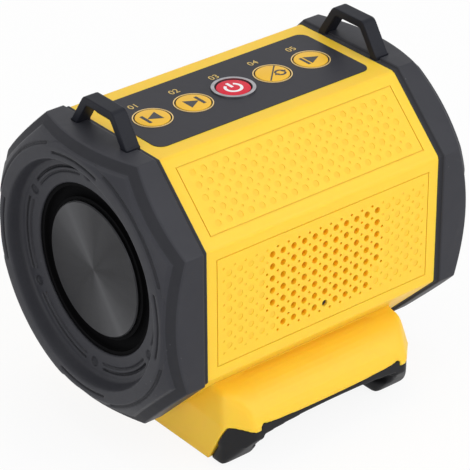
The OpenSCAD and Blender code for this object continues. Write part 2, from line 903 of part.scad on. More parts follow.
module right_radiator_surround() {
  color("#151517") radiator_surround();
}

module left_radiator_surround() {
  color("#151517") mirror([1, 0, 0]) radiator_surround();
}

module radiator_disc() {
  bevel = 0.4;
  turned() polygon([
    [0, u_disc_back], [disc_r, u_disc_back], [disc_r, u_disc_back + disc_t - bevel],
    [disc_r - bevel, u_disc_back + disc_t], [0, u_disc_back + disc_t]
  ]);
}

module right_radiator_disc() {
  color("#3a3a3c") radiator_disc();
}

module left_radiator_disc() {
  color("#3a3a3c") mirror([1, 0, 0]) radiator_disc();
}

module radiator_weight() {
  turned() translate([0, u_disc_back - weight_t]) square([weight_r, weight_t]);
}

module right_radiator_weight() {
  color("slategray") radiator_weight();
}

module left_radiator_weight() {
  color("slategray") mirror([1, 0, 0]) radiator_weight();
}

module driver_gasket() {
  color("#222224") on_driver() difference() {
    block(driver_half, driver_half, 0, gasket_d);
    translate([0, 0, -eps]) cylinder(r = sound_r + 0.3, h = gasket_d + 2 * eps);
    translate([0, 0, -eps]) at_corners(driver_screw, driver_screw)
      cylinder(r = driver_boss_r + 0.1, h = gasket_d + 2 * eps);
  }
}

module driver_basket() {
  color("#2f2f33") on_driver() difference() {
    union() {
      block(driver_half, driver_half, gasket_d, d_flange);
      rotate_extrude() polygon([
        [basket_hole_r, d_flange - 0.1], [basket_hole_r + basket_wall, d_flange - 0.1],
        [basket_back_r + basket_wall, d_plate], [step_r, d_plate], [step_r, d_step], [spider_r, d_step]
      ]);
    }
    translate([0, 0, gasket_d - eps]) cylinder(r = basket_hole_r, h = flange_d + eps);
    translate([0, 0, gasket_d - eps]) at_corners(driver_screw, driver_screw)
      cylinder(r = driver_pilot_r + hole_slack, h = flange_d + 2 * eps);
  }
}

module driver_top_plate() {
  color("silver") on_driver() translate([0, 0, d_plate]) ring(plate_r, plate_hole_r, plate_d);
}

module driver_magnet() {
  color("#3b3b3b") on_driver() translate([0, 0, d_magnet]) ring(magnet_r, magnet_hole_r, magnet_d);
}

module driver_yoke() {
  color("silver") on_driver() {
    translate([0, 0, d_yoke]) cylinder(r = plate_r, h = yoke_d);
    translate([0, 0, d_plate]) cylinder(r = pole_r, h = d_yoke - d_plate + 0.1);
  }
}

module driver_screws() {
  color("silver") on_driver() translate([0, 0, d_flange]) at_corners(driver_screw, driver_screw)
    rotate([180, 0, 0]) screw(driver_pilot_r - screw_slack, d_flange - fuse, small_head_r, small_head_h);
}

// Voice coil: a paper former with its winding, in the gap between plate and pole
module voice_coil() {
  winding_at = d_plate - 0.4;
  winding_h = plate_d + 0.8;
  color("chocolate") on_driver() {
    translate([0, 0, cone_foot - 1]) ring(coil_r, coil_r - former_t, winding_at + winding_h - cone_foot + 1);
    translate([0, 0, winding_at]) ring(coil_r + winding_t, coil_r - former_t / 2, winding_h);
  }
}

module driver_cone() {
  color("#26262a") on_driver() rotate_extrude() polygon([
    [coil_r + screw_slack, cone_foot], [cone_r - cone_rim, gasket_d], [cone_r, gasket_d],
    [cone_r, gasket_d + cone_t], [cone_r - cone_rim, gasket_d + cone_t],
    [coil_r + screw_slack, cone_foot + cone_t]
  ]);
}

module dust_cap() {
  rise = 1.6;
  foot = cone_foot - 1;
  ball_r = (coil_r * coil_r + rise * rise) / (2 * rise);
  half = asin(coil_r / ball_r);
  steps = 8;
  centre = [0, foot - rise + ball_r];
  color("#303034") on_driver() rotate_extrude() polygon(concat(
    arc(centre, ball_r, -90, half - 90, steps), [[0, foot]]
  ));
}

// Half-roll surround between the basket's flange and the cone's rim
module driver_surround() {
  outer_r = basket_hole_r + 0.25;
  inner_r = cone_r - 0.15;
  mid = (outer_r + inner_r) / 2;
  big = (outer_r - inner_r) / 2;
  small = big - roll_t;
  face = gasket_d - roll_t;
  steps = 12;
  color("#19191b") on_driver() rotate_extrude() polygon(concat(
    [[sound_r, gasket_d], [sound_r, face]],
    arc([mid, face], big, 0, -180, steps),
    [[cone_r - cone_rim, face], [cone_r - cone_rim, gasket_d], [mid - small, gasket_d]],
    arc([mid, face], small, -180, 0, steps),
    [[mid + small, gasket_d]]
  ));
}

module driver_spider() {
  color("tan") on_driver() translate([0, 0, d_step - roll_t]) ring(spider_r - 0.1, coil_r + 0.3, roll_t);
}

module main_board() {
  color("darkgreen") difference() {
    block(board_half_len, board_half_w, board_z, board_z + board_t);
    on_board_posts(board_z - eps) cylinder(r = board_screw_r + hole_slack, h = board_t + 2 * eps);
  }
}

module board_screws() {
  color("silver") on_board_posts(board_z + board_t)
    rotate([180, 0, 0]) screw(board_screw_r, board_t + board_screw_len, small_head_r, small_head_h);
}

module radio_module() {
  color("lightsteelblue") translate([-radio_at[0], radio_at[1], board_top]) {
    block(radio_half_len, radio_half_w, 0, radio_board_t);
    block(radio_half_len - radio_rim, radio_half_w - radio_rim, radio_board_t - fuse, radio_h);
  }
}

module filter_capacitors() {
  color("#22262e") for (i = [-1 : 1])
    translate([can_x, can_pitch * i, board_top]) cylinder(r = can_r, h = can_h);
}

module power_inductor() {
  color("#55504a") translate([choke_at[0], -choke_at[1], board_top]) {
    block(choke_half, choke_half, 0, choke_foot_h);
    cylinder(r = choke_half - choke_rim, h = choke_h);
  }
}

module mic_boot() {
  nose = grille_ledge + grille_t - 1;
  color("#111111") on_axis() translate([0, -inner_apothem, -mic_drop]) rotate([-90, 0, 0]) difference() {
    union() {
      cylinder(r = mic_boot_r, h = mic_boot_d);
      translate([0, 0, -nose]) cylinder(r = mic_hole_r - screw_slack, h = nose + 0.1);
    }
    translate([0, 0, mic_boot_d - mic_d]) cylinder(r = mic_r + screw_slack, h = mic_d + eps);
    translate([0, 0, -nose - eps]) cylinder(r = 0.4, h = nose + mic_boot_d);
  }
}

module microphone() {
  color("silver") on_axis() translate([0, -inner_apothem + mic_boot_d - mic_d, -mic_drop])
    rotate([-90, 0, 0]) cylinder(r = mic_r, h = mic_d + 0.4);
}

module battery_leads() {
  color("firebrick") on_leads(shoe_top) cylinder(r = lead_r, h = board_z - shoe_top);
}

// Driver leads: from the back of the basket's flange to the main board's front edge
module driver_leads() {
  from_y = -inner_apothem + d_flange;
  bend_y = 4 * wire_r - board_half_w;
  bend_z = axis_h + driver_rise - driver_half + 1.6 * wire_r;
  color("dimgray") for (x = [-wire_x, wire_x]) {
    translate([x, bend_y, board_top]) cylinder(r = wire_r, h = bend_z - board_top);
    translate([x, bend_y, bend_z]) sphere(r = wire_r, $fn = 24);
    translate([x, from_y, bend_z]) rotate([-90, 0, 0]) cylinder(r = wire_r, h = bend_y - from_y);
  }
}

module key_ribbon() {
  half_w = 6;
  thick = 0.4;
  low = board_top;
  high = axis_h + apothem - key_board_top - board_t;
  color("lightgray") translate([0, key_board_half_w - 2, 0]) block(half_w, thick / 2, low, high);
}

// The shelf's bulging outline in (Y, Z) from the skirt's lower edge up to the neck, moved inwards
function shelf(inset) =
  let (low = [-base_half, skirt_z], high = [-neck_half, neck_z], chord = norm(high - low),
       r = chord * chord / (8 * shelf_bulge) + shelf_bulge / 2, along = (high - low) / chord,
       c = (low + high) / 2 + [along[1], -along[0]] * (r - shelf_bulge),
       from = atan2((low - c)[1], (low - c)[0]), half = asin(chord / 2 / r))
  arc(c, r - inset, from, from - 2 * half, 10);

function rear(points) = [for (i = [len(points) - 1 : -1 : 0]) [-points[i][0], points[i][1]]];

module base_profile() {
  edge = shelf(0);
  top = edge[len(edge) - 1] + [4, 1];
  front = concat([[-base_half, 0]], edge, [top]);
  polygon(concat(front, rear(front)));
}

// The pedestal's outline from above, moved inwards, with its upright edges rounded
module base_plan(inset, corner, round_r) {
  x = base_w / 2 - inset;
  y = base_half - inset;
  c = corner - inset * (2 - sqrt(2));
  p = [
    [-x, -y + c], [-x + c, -y], [x - c, -y], [x, -y + c],
    [x, y - c], [x - c, y], [-x + c, y], [-x, y - c]
  ];
  polygon([for (i = [0 : 7]) each corner(p[(i + 7) % 8], p[i], p[(i + 1) % 8], round_r, 4)]);
}

// The leaning corner facets, as cuts above the skirt's lower edge
module base_facets() {
  facet_dist = (base_w / 2 + base_half - base_corner) / sqrt(2);
  for (x = [0, 1], y = [0, 1]) mirror([x, 0, 0]) mirror([0, y, 0])
    rotate([0, 0, 45]) translate([facet_dist, 0, skirt_z]) rotate([0, -facet_lean, 0])
      translate([0, -base_w / 2, 0]) cube([base_w, base_w, base_w]);
}

// The space inside the pedestal in (Y, Z): the shoe's pocket and the hollows under the shelves
module base_inside() {
  edge = shelf(base_wall);
  far = 2 * base_half;
  neck = edge[len(edge) - 2];
  hollow = [for (i = [1 : len(edge) - 2]) edge[i]];
  front = concat([[-far, -eps], [-far, edge[1][1]]], hollow, [[neck[0] + neck[1] - shoe_top, shoe_top]]);
  polygon(concat(front, rear(front)));
}

// The lower edge along a corner facet in (distance from the side wall, height): a rounded shoulder
// over the side wall's sloping edge and a wave down to the tooth
function facet_edge(gap) =
  let (peak = facet_z + facet_rise - gap, tilt = atan(1 / (sqrt(2) * side_slope)),
       from = sqrt(2) * (gap + side_slope * (peak - facet_z)) + shoulder_r * tan(tilt / 2), steps = 8)
  concat(
    arc([from, peak - shoulder_r], shoulder_r, 90 + tilt, 90, 6),
    [for (i = [1 : steps])
      [from + (tooth_at - from) * i / steps, peak - facet_rise * (1 - cos(180 * i / steps)) / 2]]
  );

// The cut that opens the front below the skirt: the strip with its bowed upper edge between the teeth,
// and the corners in front of the side walls' sloping edges
module base_front_cut(gap) {
  edge = facet_edge(gap);
  high = 2 * skirt_z;
  intersection() {
    difference() {
      along_x(-base_w, base_w) polygon([
        [-2 * base_half, skirt_z - gap], [-base_half, skirt_z - gap], [-facet_y - gap, facet_z - gap],
        [-side_foot - gap, -eps], [-2 * base_half, -eps]
      ]);
      translate([0, -facet_y, skirt_z - skirt_bow + bow_r]) rotate([90, 0, 0])
        cylinder(r = bow_r + gap, h = base_half, $fn = 180);
    }
    translate([0, -base_half, 0]) block(notch_half - gap, 2 * base_half, -2 * eps, high);
  }
  for (s = [0, 1]) mirror([s, 0, 0]) intersection() {
    along_x(0, base_w) polygon([
      [-2 * base_half, high], [-side_foot - gap - side_slope * high, high],
      [-side_foot - gap + side_slope * eps, -eps], [-2 * base_half, -eps]
    ]);
    translate([base_w / 2, -facet_y, 0]) rotate([0, 0, -45]) along_x(-base_w, base_w) polygon(concat(
      [[base_w, -eps], [base_w, high], [-edge[0][0], high]], [for (q = edge) [-q[0], q[1]]],
      [[-base_w, edge[len(edge) - 1][1]], [-base_w, -eps]]
    ));
  }
}

// The pedestal's side walls in (X, Z), moved inwards: upright below the skirt's edge and leaning above
module base_sides(inset) {
  foot = base_w / 2 - inset;
  neck = foot - side_lean;
  top = neck_z + 2 * eps;
  along_y(-base_half - eps, base_half + eps) polygon([
    [-foot, -2 * eps], [foot, -2 * eps], [foot, skirt_z], [neck, top], [-neck, top], [-foot, skirt_z]
  ]);
}

module battery_base() {
  color("gold") difference() {
    intersection() {
      along_x(-base_w, base_w) base_profile();
      translate([0, 0, -base_half]) linear_extrude(2 * axis_h) base_plan(0, base_corner, plan_round);
      base_sides(0);
    }
    octagon_bar(0, -base_w, base_w);
    intersection() {
      along_x(-base_w, base_w) base_inside();
      translate([0, 0, -base_half]) linear_extrude(2 * axis_h)
        base_plan(base_wall, base_corner + facet_in, plan_round);
      base_sides(base_wall);
    }
    base_facets();
    base_front_cut(0);
    on_base_screws(shoe_top - eps) cylinder(r = base_screw_r + hole_slack, h = base_roof + 2 * eps);
    on_leads(shoe_top - eps) cylinder(r = lead_hole_r, h = base_roof + 2 * eps);
  }
}

// The battery channel in (X, Z): the mouth between the rails, the rail grooves and the roof
module channel_outline() {
  groove_top = rail_lip + rail_groove_h;
  half = channel_half;
  wide = channel_half + rail_groove;
  polygon([
    [-half, -eps], [-half, rail_lip], [-wide, rail_lip], [-wide, groove_top], [-half, groove_top],
    [-half, channel_h], [half, channel_h], [half, groove_top], [wide, groove_top],
    [wide, rail_lip], [half, rail_lip], [half, -eps]
  ]);
}

// The arched mouth at the front, with flanks that widen the channel between the noses
module shoe_mouth() {
  top = skirt_z - skirt_bow - shoe_gap - strip_t;
  wide = channel_half + mouth_flare;
  intersection() {
    translate([0, mouth_depth - base_half, top - mouth_r]) rotate([90, 0, 0])
      cylinder(r = mouth_r, h = 2 * mouth_depth, $fn = 180);
    translate([0, 0, -eps]) linear_extrude(skirt_z) polygon([
      [-wide, -base_half - 1], [-channel_half + 1, mouth_depth - base_half - 1],
      [channel_half - 1, mouth_depth - base_half - 1], [wide, -base_half - 1]
    ]);
  }
}

module battery_shoe() {
  front = base_half - shoe_inset;
  rear = base_half - base_wall - shoe_gap;
  color("#2d2d2f") difference() {
    intersection() {
      union() {
        linear_extrude(shoe_top) base_plan(base_wall + shoe_gap, base_corner + facet_in, plan_round);
        intersection() {
          base_front_cut(shoe_gap);
          linear_extrude(axis_h) base_plan(shoe_inset, base_corner, plan_round);
        }
      }
      along_x(-base_w, base_w) polygon([
        [-nose_foot, 0], [-front, skirt_z - nose_lip - facet_fall], [-front, skirt_z + eps],
        [rear, skirt_z + eps], [rear, 0]
      ]);
    }
    along_y(-2 * base_half, channel_stop) channel_outline();
    shoe_mouth();
    on_base_screws(channel_h - eps) cylinder(r = base_head_r + head_slack, h = base_head_h + eps);
    on_base_screws(channel_h) cylinder(r = base_screw_r + hole_slack, h = shoe_roof + eps);
    translate([0, block_front + block_len / 2, 0])
      block(block_half_w - block_neck_inset + shoe_gap, block_len / 2 - block_neck_inset + shoe_gap,
            channel_h - eps, shoe_top + eps);
  }
}

module base_screws() {
  shank = shoe_roof - base_head_h + base_roof + wall + base_boss_h - 1.6;
  color("silver") on_base_screws(channel_h + base_head_h)
    screw(base_screw_r, shank, base_head_r, base_head_h - head_slack);
}

module at_blades() {
  for (i = [-1.5 : 1.5]) translate([i * blade_pitch, block_front + blade_seat, 0]) children();
}

module terminal_block() {
  middle = block_front + block_len / 2;
  color("#3a2f2a") difference() {
    translate([0, middle, 0]) {
      block(block_half_w, block_len / 2, block_floor, channel_h);
      block(block_half_w - block_neck_inset, block_len / 2 - block_neck_inset, channel_h - 0.1, shoe_top);
    }
    at_blades() translate([-blade_t / 2 - blade_slack, -blade_seat - eps, blade_z - blade_slack])
      cube([blade_t + 2 * blade_slack, blade_seat + eps + blade_slack, blade_h + 2 * blade_slack]);
  }
}

module contact_blades() {
  color("peru") at_blades() translate([-blade_t / 2, -blade_len, blade_z])
    cube([blade_t, blade_len, blade_h]);
}

main_housing();
front_grille();
upper_grille();
rear_grille();
rear_upper_grille();
control_panel();
power_ring();
key_trim_rings();
previous_key();
next_key();
power_key();
mode_key();
play_key();
key_board();
key_switches();
key_board_screws();
left_end_cap();
right_end_cap();
left_strap_lug();
right_strap_lug();
lug_screws();
left_radiator_disc();
right_radiator_disc();
left_radiator_surround();
right_radiator_surround();
left_radiator_weight();
right_radiator_weight();
left_end_frame();
right_end_frame();
left_end_gasket();
right_end_gasket();
left_frame_screws();
right_frame_screws();
driver_gasket();
driver_basket();
driver_top_plate();
driver_magnet();
driver_yoke();
driver_screws();
voice_coil();
driver_cone();
dust_cap();
driver_surround();
driver_spider();
main_board();
radio_module();
filter_capacitors();
power_inductor();
board_screws();
microphone();
mic_boot();
battery_leads();
driver_leads();
key_ribbon();
battery_base();
battery_shoe();
terminal_block();
contact_blades();
base_screws();
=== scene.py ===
"""A cordless bluetooth speaker: yellow shell, soft end bumpers, key panel and battery pedestal."""

import logging
import math
from collections.abc import Callable, Iterator, Sequence
from contextlib import contextmanager
from dataclasses import dataclass
from enum import Enum
from functools import partial

import bmesh
import bpy
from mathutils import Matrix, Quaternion, Vector


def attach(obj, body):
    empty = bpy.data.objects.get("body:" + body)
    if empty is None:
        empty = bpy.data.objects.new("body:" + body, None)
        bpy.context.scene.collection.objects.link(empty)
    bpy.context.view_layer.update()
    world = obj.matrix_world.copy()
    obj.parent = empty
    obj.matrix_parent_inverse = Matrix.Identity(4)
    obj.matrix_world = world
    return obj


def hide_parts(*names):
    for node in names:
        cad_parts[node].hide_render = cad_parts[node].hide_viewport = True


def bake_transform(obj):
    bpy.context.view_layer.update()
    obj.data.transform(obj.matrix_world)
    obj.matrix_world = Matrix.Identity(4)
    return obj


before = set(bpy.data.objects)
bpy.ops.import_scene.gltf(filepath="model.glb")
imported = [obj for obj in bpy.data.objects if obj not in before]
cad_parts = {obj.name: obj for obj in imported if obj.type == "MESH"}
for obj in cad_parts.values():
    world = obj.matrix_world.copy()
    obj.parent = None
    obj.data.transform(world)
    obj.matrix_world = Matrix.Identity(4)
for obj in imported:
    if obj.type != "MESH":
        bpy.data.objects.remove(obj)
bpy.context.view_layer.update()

log = logging.getLogger("speaker")

MM = 0.001
HOUSING = "housing"
AXIS_Z = 70 * MM
AXIS = Vector((0, 0, AXIS_Z))

# Places this close count as the same, and corners this close are joined.
CLOSE = 0.01 * MM
NEAR = 0.02 * MM
JOINED = 1e-6

# Faces that meet more flatly than this are one face.
FLAT = math.radians(0.5)
FULL_TURN = 2 * math.pi

Colour = tuple[float, float, float]
Place = tuple[float, float, float]
Section = list[tuple[float, float]]
Test = Callable[[Vector, Vector], bool]


class Side(Enum):
    """The two ends of the speaker, each with the way it faces along X."""

    LEFT = -1
    RIGHT = 1

    @property
    def word(self) -> str:
        """The side's name as it stands in piece and node names."""
        return self.name.lower()


class Pick(Enum):
    """What a selection in edit mode is made of."""

    CORNERS = "VERT"
    EDGES = "EDGE"
    FACES = "FACE"


class Value:
    """A socket of a material's nodes. Sums with it are written as Python expressions."""

    def __init__(self, graph: "Graph", socket: bpy.types.NodeSocket) -> None:
        """Wraps an output socket of a graph's nodes."""
        self.graph = graph
        self.socket = socket

    def _math(
        self, operation: str, first: "Value | float", second: "Value | float" = 0.0
    ) -> "Value":
        """The result of one new Math node."""
        return self.graph.node("Math", {"operation": operation}, {0: first, 1: second})

    def __add__(self, other: "Value | float") -> "Value":
        """This value plus another."""
        return self._math("ADD", self, other)

    def __radd__(self, other: float) -> "Value":
        """A number plus this value."""
        return self._math("ADD", other, self)

    def __sub__(self, other: "Value | float") -> "Value":
        """This value less another."""
        return self._math("SUBTRACT", self, other)

    def __rsub__(self, other: float) -> "Value":
        """A number less this value."""
        return self._math("SUBTRACT", other, self)

    def __mul__(self, other: "Value | float") -> "Value":
        """This value times another."""
        return self._math("MULTIPLY", self, other)

    def __rmul__(self, other: float) -> "Value":
        """A number times this value."""
        return self._math("MULTIPLY", other, self)

    def __truediv__(self, other: "Value | float") -> "Value":
        """This value over another."""
        return self._math("DIVIDE", self, other)

    def __rtruediv__(self, other: float) -> "Value":
        """A number over this value."""
        return self._math("DIVIDE", other, self)

    def __pow__(self, other: "Value | float") -> "Value":
        """This value to a power."""
        return self._math("POWER", self, other)

    def __abs__(self) -> "Value":
        """This value without its sign."""
        return self._math("ABSOLUTE", self)

    def sine(self) -> "Value":
        """The sine of this value."""
        return self._math("SINE", self)

    def above(self, edge: "Value | float") -> "Value":
        """One where this value is above an edge, and zero elsewhere."""
        return self._math("GREATER_THAN", self, edge)

    def at_most(self, other: "Value | float") -> "Value":
        """The smaller of this value and another."""
        return self._math("MINIMUM", self, other)

    def at_least(self, other: "Value | float") -> "Value":
        """The larger of this value and another."""
        return self._math("MAXIMUM", self, other)


class Graph:
    """The nodes of one material, or of the world."""

    def __init__(self, owner: bpy.types.Material | bpy.types.World) -> None:
        """Empties the nodes of their owner.

        Args:
            owner: The material or the world.
        """
        self.owner = owner
        owner.use_nodes = True
        self.tree = owner.node_tree
        self.tree.nodes.clear()

    def node(self, kind: str, settings: dict, inputs: dict, output: int | str = 0) -> Value:
        """Adds a node of any kind.

        Args:
            kind: The node's type, without its ShaderNode prefix.
            settings: Its own settings, set before its sockets.
            inputs: Numbers, colours or values for its sockets.
            output: The socket that the result reads.

        Returns:
            The result.
        """
        made = self.tree.nodes.new("ShaderNode" + kind)
        for name, setting in settings.items():
            setattr(made, name, setting)
        for key, given in inputs.items():
            if isinstance(given, Value):
                self.tree.links.new(given.socket, made.inputs[key])
            else:
                made.inputs[key].default_value = given
        return Value(self, made.outputs[output])

    def place(self) -> Value:
        """The point of the surface, in metres."""
        return self.node("TexCoord", {}, {}, "Object")

    def parts(self, vector: Value) -> tuple[Value, Value, Value]:
        """A vector's three numbers.

        Args:
            vector: The vector to take apart.

        Returns:
            Its x, y and z.
        """
        first = self.node("SeparateXYZ", {}, {0: vector})
        rest = first.socket.node.outputs
        return first, Value(self, rest[1]), Value(self, rest[2])

    def noise(self, size: float, detail: float, at: Value | None = None) -> Value:
        """Soft noise about 0.5 in lumps of a size, read at the surface point or another place."""
        inputs = {"Vector": at or self.place(), "Scale": 1 / size, "Detail": detail}
        return self.node("TexNoise", {}, inputs)

    def cells(self, size: float, feature: str = "F1") -> Value:
        """Distance to points scattered a size apart, in that size."""
        inputs = {"Vector": self.place(), "Scale": 1 / size}
        return self.node("TexVoronoi", {"feature": feature}, inputs, "Distance")

    def blend(self, share: Value | float, low: Value | Colour, high: Value | Colour) -> Value:
        """A mix of two colours.

        Args:
            share: How much of the second there is.
            low: The first colour.
            high: The second colour.

        Returns:
            The mixed colour.
        """
        # A Mix node has its colours at sockets 6 and 7, and their mix at output 2.
        ends = {
            key: end if isinstance(end, Value) else (*end, 1.0)
            for key, end in ((6, low), (7, high))
        }
        return self.node("Mix", {"data_type": "RGBA"}, {0: share, **ends}, 2)

    def nearness(self, reach: float, inside: bool) -> Value:
        """How close the surface is to an outer edge (inside) or a hollow, from 0 to about 1."""
        settings = {"samples": 6, "inside": inside, "only_local": True}
        return 1 - self.node("AmbientOcclusion", settings, {"Distance": reach}, "AO")

    def bump(self, height: Value, depth: float) -> Value:
        """A normal from a height of about 0 to 1, where 1 stands for a depth in metres."""
        inputs = {"Height": height, "Distance": depth, "Strength": 1.0}
        return self.node("Bump", {}, inputs, "Normal")

    def close(self, shader: Value) -> None:
        """Joins a shader to the output.

        Args:
            shader: The shader.
        """
        kind = "OutputWorld" if isinstance(self.owner, bpy.types.World) else "OutputMaterial"
        out = self.tree.nodes.new("ShaderNode" + kind)
        self.tree.links.new(shader.socket, out.inputs["Surface"])


@dataclass(frozen=True)
class Finish:
    """A finish with grain, mottled colour and wandering gloss.

    Attributes:
        name: The material's name.
        colour: The main colour.
        shade: The colour that mottles it.
        roughness: The middle roughness.
        spread: How far the roughness wanders.
        grain: The grain's size.
        depth: The grain's height.
        metallic: How far it is metal.
        specular: How strongly its surface mirrors.
        bleed: How much light goes through its skin.
        bleed_reach: How far that light goes.
        bleed_colour: How far each of its colours goes, as a share of that.
        mottle: The size of the patches of colour.
        wander: The size of the patches of gloss.
    """

    name: str
    colour: Colour
    shade: Colour
    roughness: float
    spread: float = 0.1
    grain: float = 0.4 * MM
    depth: float = 0.02 * MM
    metallic: float = 0.0
    specular: float = 0.5
    bleed: float = 0.0
    bleed_reach: float = 2 * MM
    bleed_colour: Colour = (1.0, 0.35, 0.06)
    mottle: float = 14 * MM
    wander: float = 3 * MM

    def tint(self, graph: Graph) -> Value:
        """The colour over the surface."""
        return graph.blend(graph.noise(self.mottle, detail=5), self.colour, self.shade)

    def gloss(self, graph: Graph) -> Value:
        """The roughness over the surface."""
        return self.roughness + self.spread * (graph.noise(self.wander, detail=4) - 0.5)

    def height(self, graph: Graph) -> Value:
        """The relief over the surface, from 0 to 1."""
        return graph.noise(self.grain, detail=2)

    def material(self) -> bpy.types.Material:
        """The finish's material, made at its first use.

        Returns:
            The material.
        """
        made = bpy.data.materials.get(self.name)
        if made:
            return made
        graph = Graph(bpy.data.materials.new(self.name))
        sockets = {
            "Base Color": self.tint(graph),
            "Roughness": self.gloss(graph),
            "Metallic": self.metallic,
            "Specular IOR Level": self.specular,
            "Subsurface Weight": self.bleed,
            "Subsurface Radius": self.bleed_colour,
            "Subsurface Scale": self.bleed_reach,
            "Normal": graph.bump(self.height(graph), self.depth),
        }
        graph.close(graph.node("BsdfPrincipled", {}, sockets))
        return graph.owner


@dataclass(frozen=True)
class Rubber(Finish):
    """Matt moulded rubber with a fine grain and a few specks of dust.

    Attributes:
        speck: How far apart the specks lie.
        sparse: How many times a speck's radius goes into that.
        clump: The size of dusty places, as a share of that.
        clean: The noise below which a place has no dust.
        dusty: How much of the dust's colour is taken.
        dust: The dust's colour.
    """

    mottle: float = 9 * MM
    speck: float = 5 * MM
    sparse: float = 14.0
    clump: float = 2.2
    clean: float = 0.6
    dusty: float = 0.3
    dust: Colour = (0.25, 0.25, 0.27)

    def tint(self, graph: Graph) -> Value:
        """The colour over the surface, with its specks.

        Args:
            graph: The material's nodes.

        Returns:
            The colour.
        """
        plain = graph.blend(graph.noise(self.mottle, detail=6), self.colour, self.shade)
        near = 1 - graph.cells(self.speck) * self.sparse
        some = graph.noise(self.clump * self.speck, detail=0).above(self.clean)
        return graph.blend(near.at_least(0) * some * self.dusty, plain, self.dust)


@dataclass(frozen=True)
class Bumper(Rubber):
    """The bumpers' rubber: dark at the chamfer's foot, with painted shade in its hollows, and paler
    along its edges, partly as wear and partly as a painted highlight.

    Attributes:
        crest_r: The radius at which the chamfer starts.
        strip: From the axis to the start of the dark strip at the chamfer's foot.
        flat: From the axis to just short of a flat, where it ends.
        slant: The same for a slanted flat.
        matt: How much of the strip's colour is taken.
        rough: How much rougher the strip is.
        foot: The strip's colour.
        deep: The colour of the painted shade in hollows.
        hollow_shade_reach: How far off a hollow the painted shade reaches.
        hollow_shade_share: How strong the painted shade is.
        wear_and_highlight: The colour of the pale edges, partly wear and partly a painted
            highlight.
        wear_and_highlight_reach: How far on to a face an edge is pale.
        wear_and_highlight_share: How strongly.
        pale_patch: The size of the pale patches along the edges.
    """

    crest_r: float = 49.7 * MM
    strip: float = 50.2 * MM
    flat: float = 53.3 * MM
    slant: float = 56.8 * MM
    matt: float = 0.35
    rough: float = 0.2
    foot: Colour = (0.008, 0.008, 0.009)
    deep: Colour = (0.005, 0.005, 0.006)
    hollow_shade_reach: float = 2.2 * MM
    hollow_shade_share: float = 1.15
    wear_and_highlight: Colour = (0.085, 0.085, 0.092)
    wear_and_highlight_reach: float = 0.7 * MM
    wear_and_highlight_share: float = 1.4
    pale_patch: float = 4 * MM

    def chamfer(self, graph: Graph) -> Value:
        """The strip at the chamfer's foot.

        Args:
            graph: The material's nodes.

        Returns:
            One on the strip, and zero elsewhere.
        """
        _, y, z = graph.parts(graph.place())
        up, across = abs(z - AXIS_Z), abs(y)
        round_r = (up * up + across * across) ** 0.5
        slanted = (up + across) * (math.sqrt(0.5) * self.flat / self.slant)
        octagon = up.at_least(across).at_least(slanted)
        in_strip = octagon.above(self.strip) * (1 - octagon.above(self.flat))
        return round_r.above(self.crest_r) * in_strip

    def tint(self, graph: Graph) -> Value:
        """The colour over the surface, with its dark strip, painted shade in hollows, and pale
        edges that are partly wear and partly a painted highlight.

        Args:
            graph: The material's nodes.

        Returns:
            The colour.
        """
        dark = graph.blend(self.chamfer(graph) * self.matt, super().tint(graph), self.foot)
        # Painted shade: ambient occlusion darkens the hollows towards the deep colour.
        deep = (graph.nearness(self.hollow_shade_reach, inside=False) * self.hollow_shade_share).at_most(1)
        hollow = graph.blend(deep, dark, self.deep)
        # Pale edges: partly wear, partly a painted highlight along the convex edges.
        patches = graph.nearness(self.wear_and_highlight_reach, inside=True) * graph.noise(self.pale_patch, detail=3)
        return graph.blend((patches * self.wear_and_highlight_share).at_most(1), hollow, self.wear_and_highlight)

    def gloss(self, graph: Graph) -> Value:
        """The roughness over the surface, more on the strip at the chamfer's foot."""
        return super().gloss(graph) + self.chamfer(graph) * self.rough


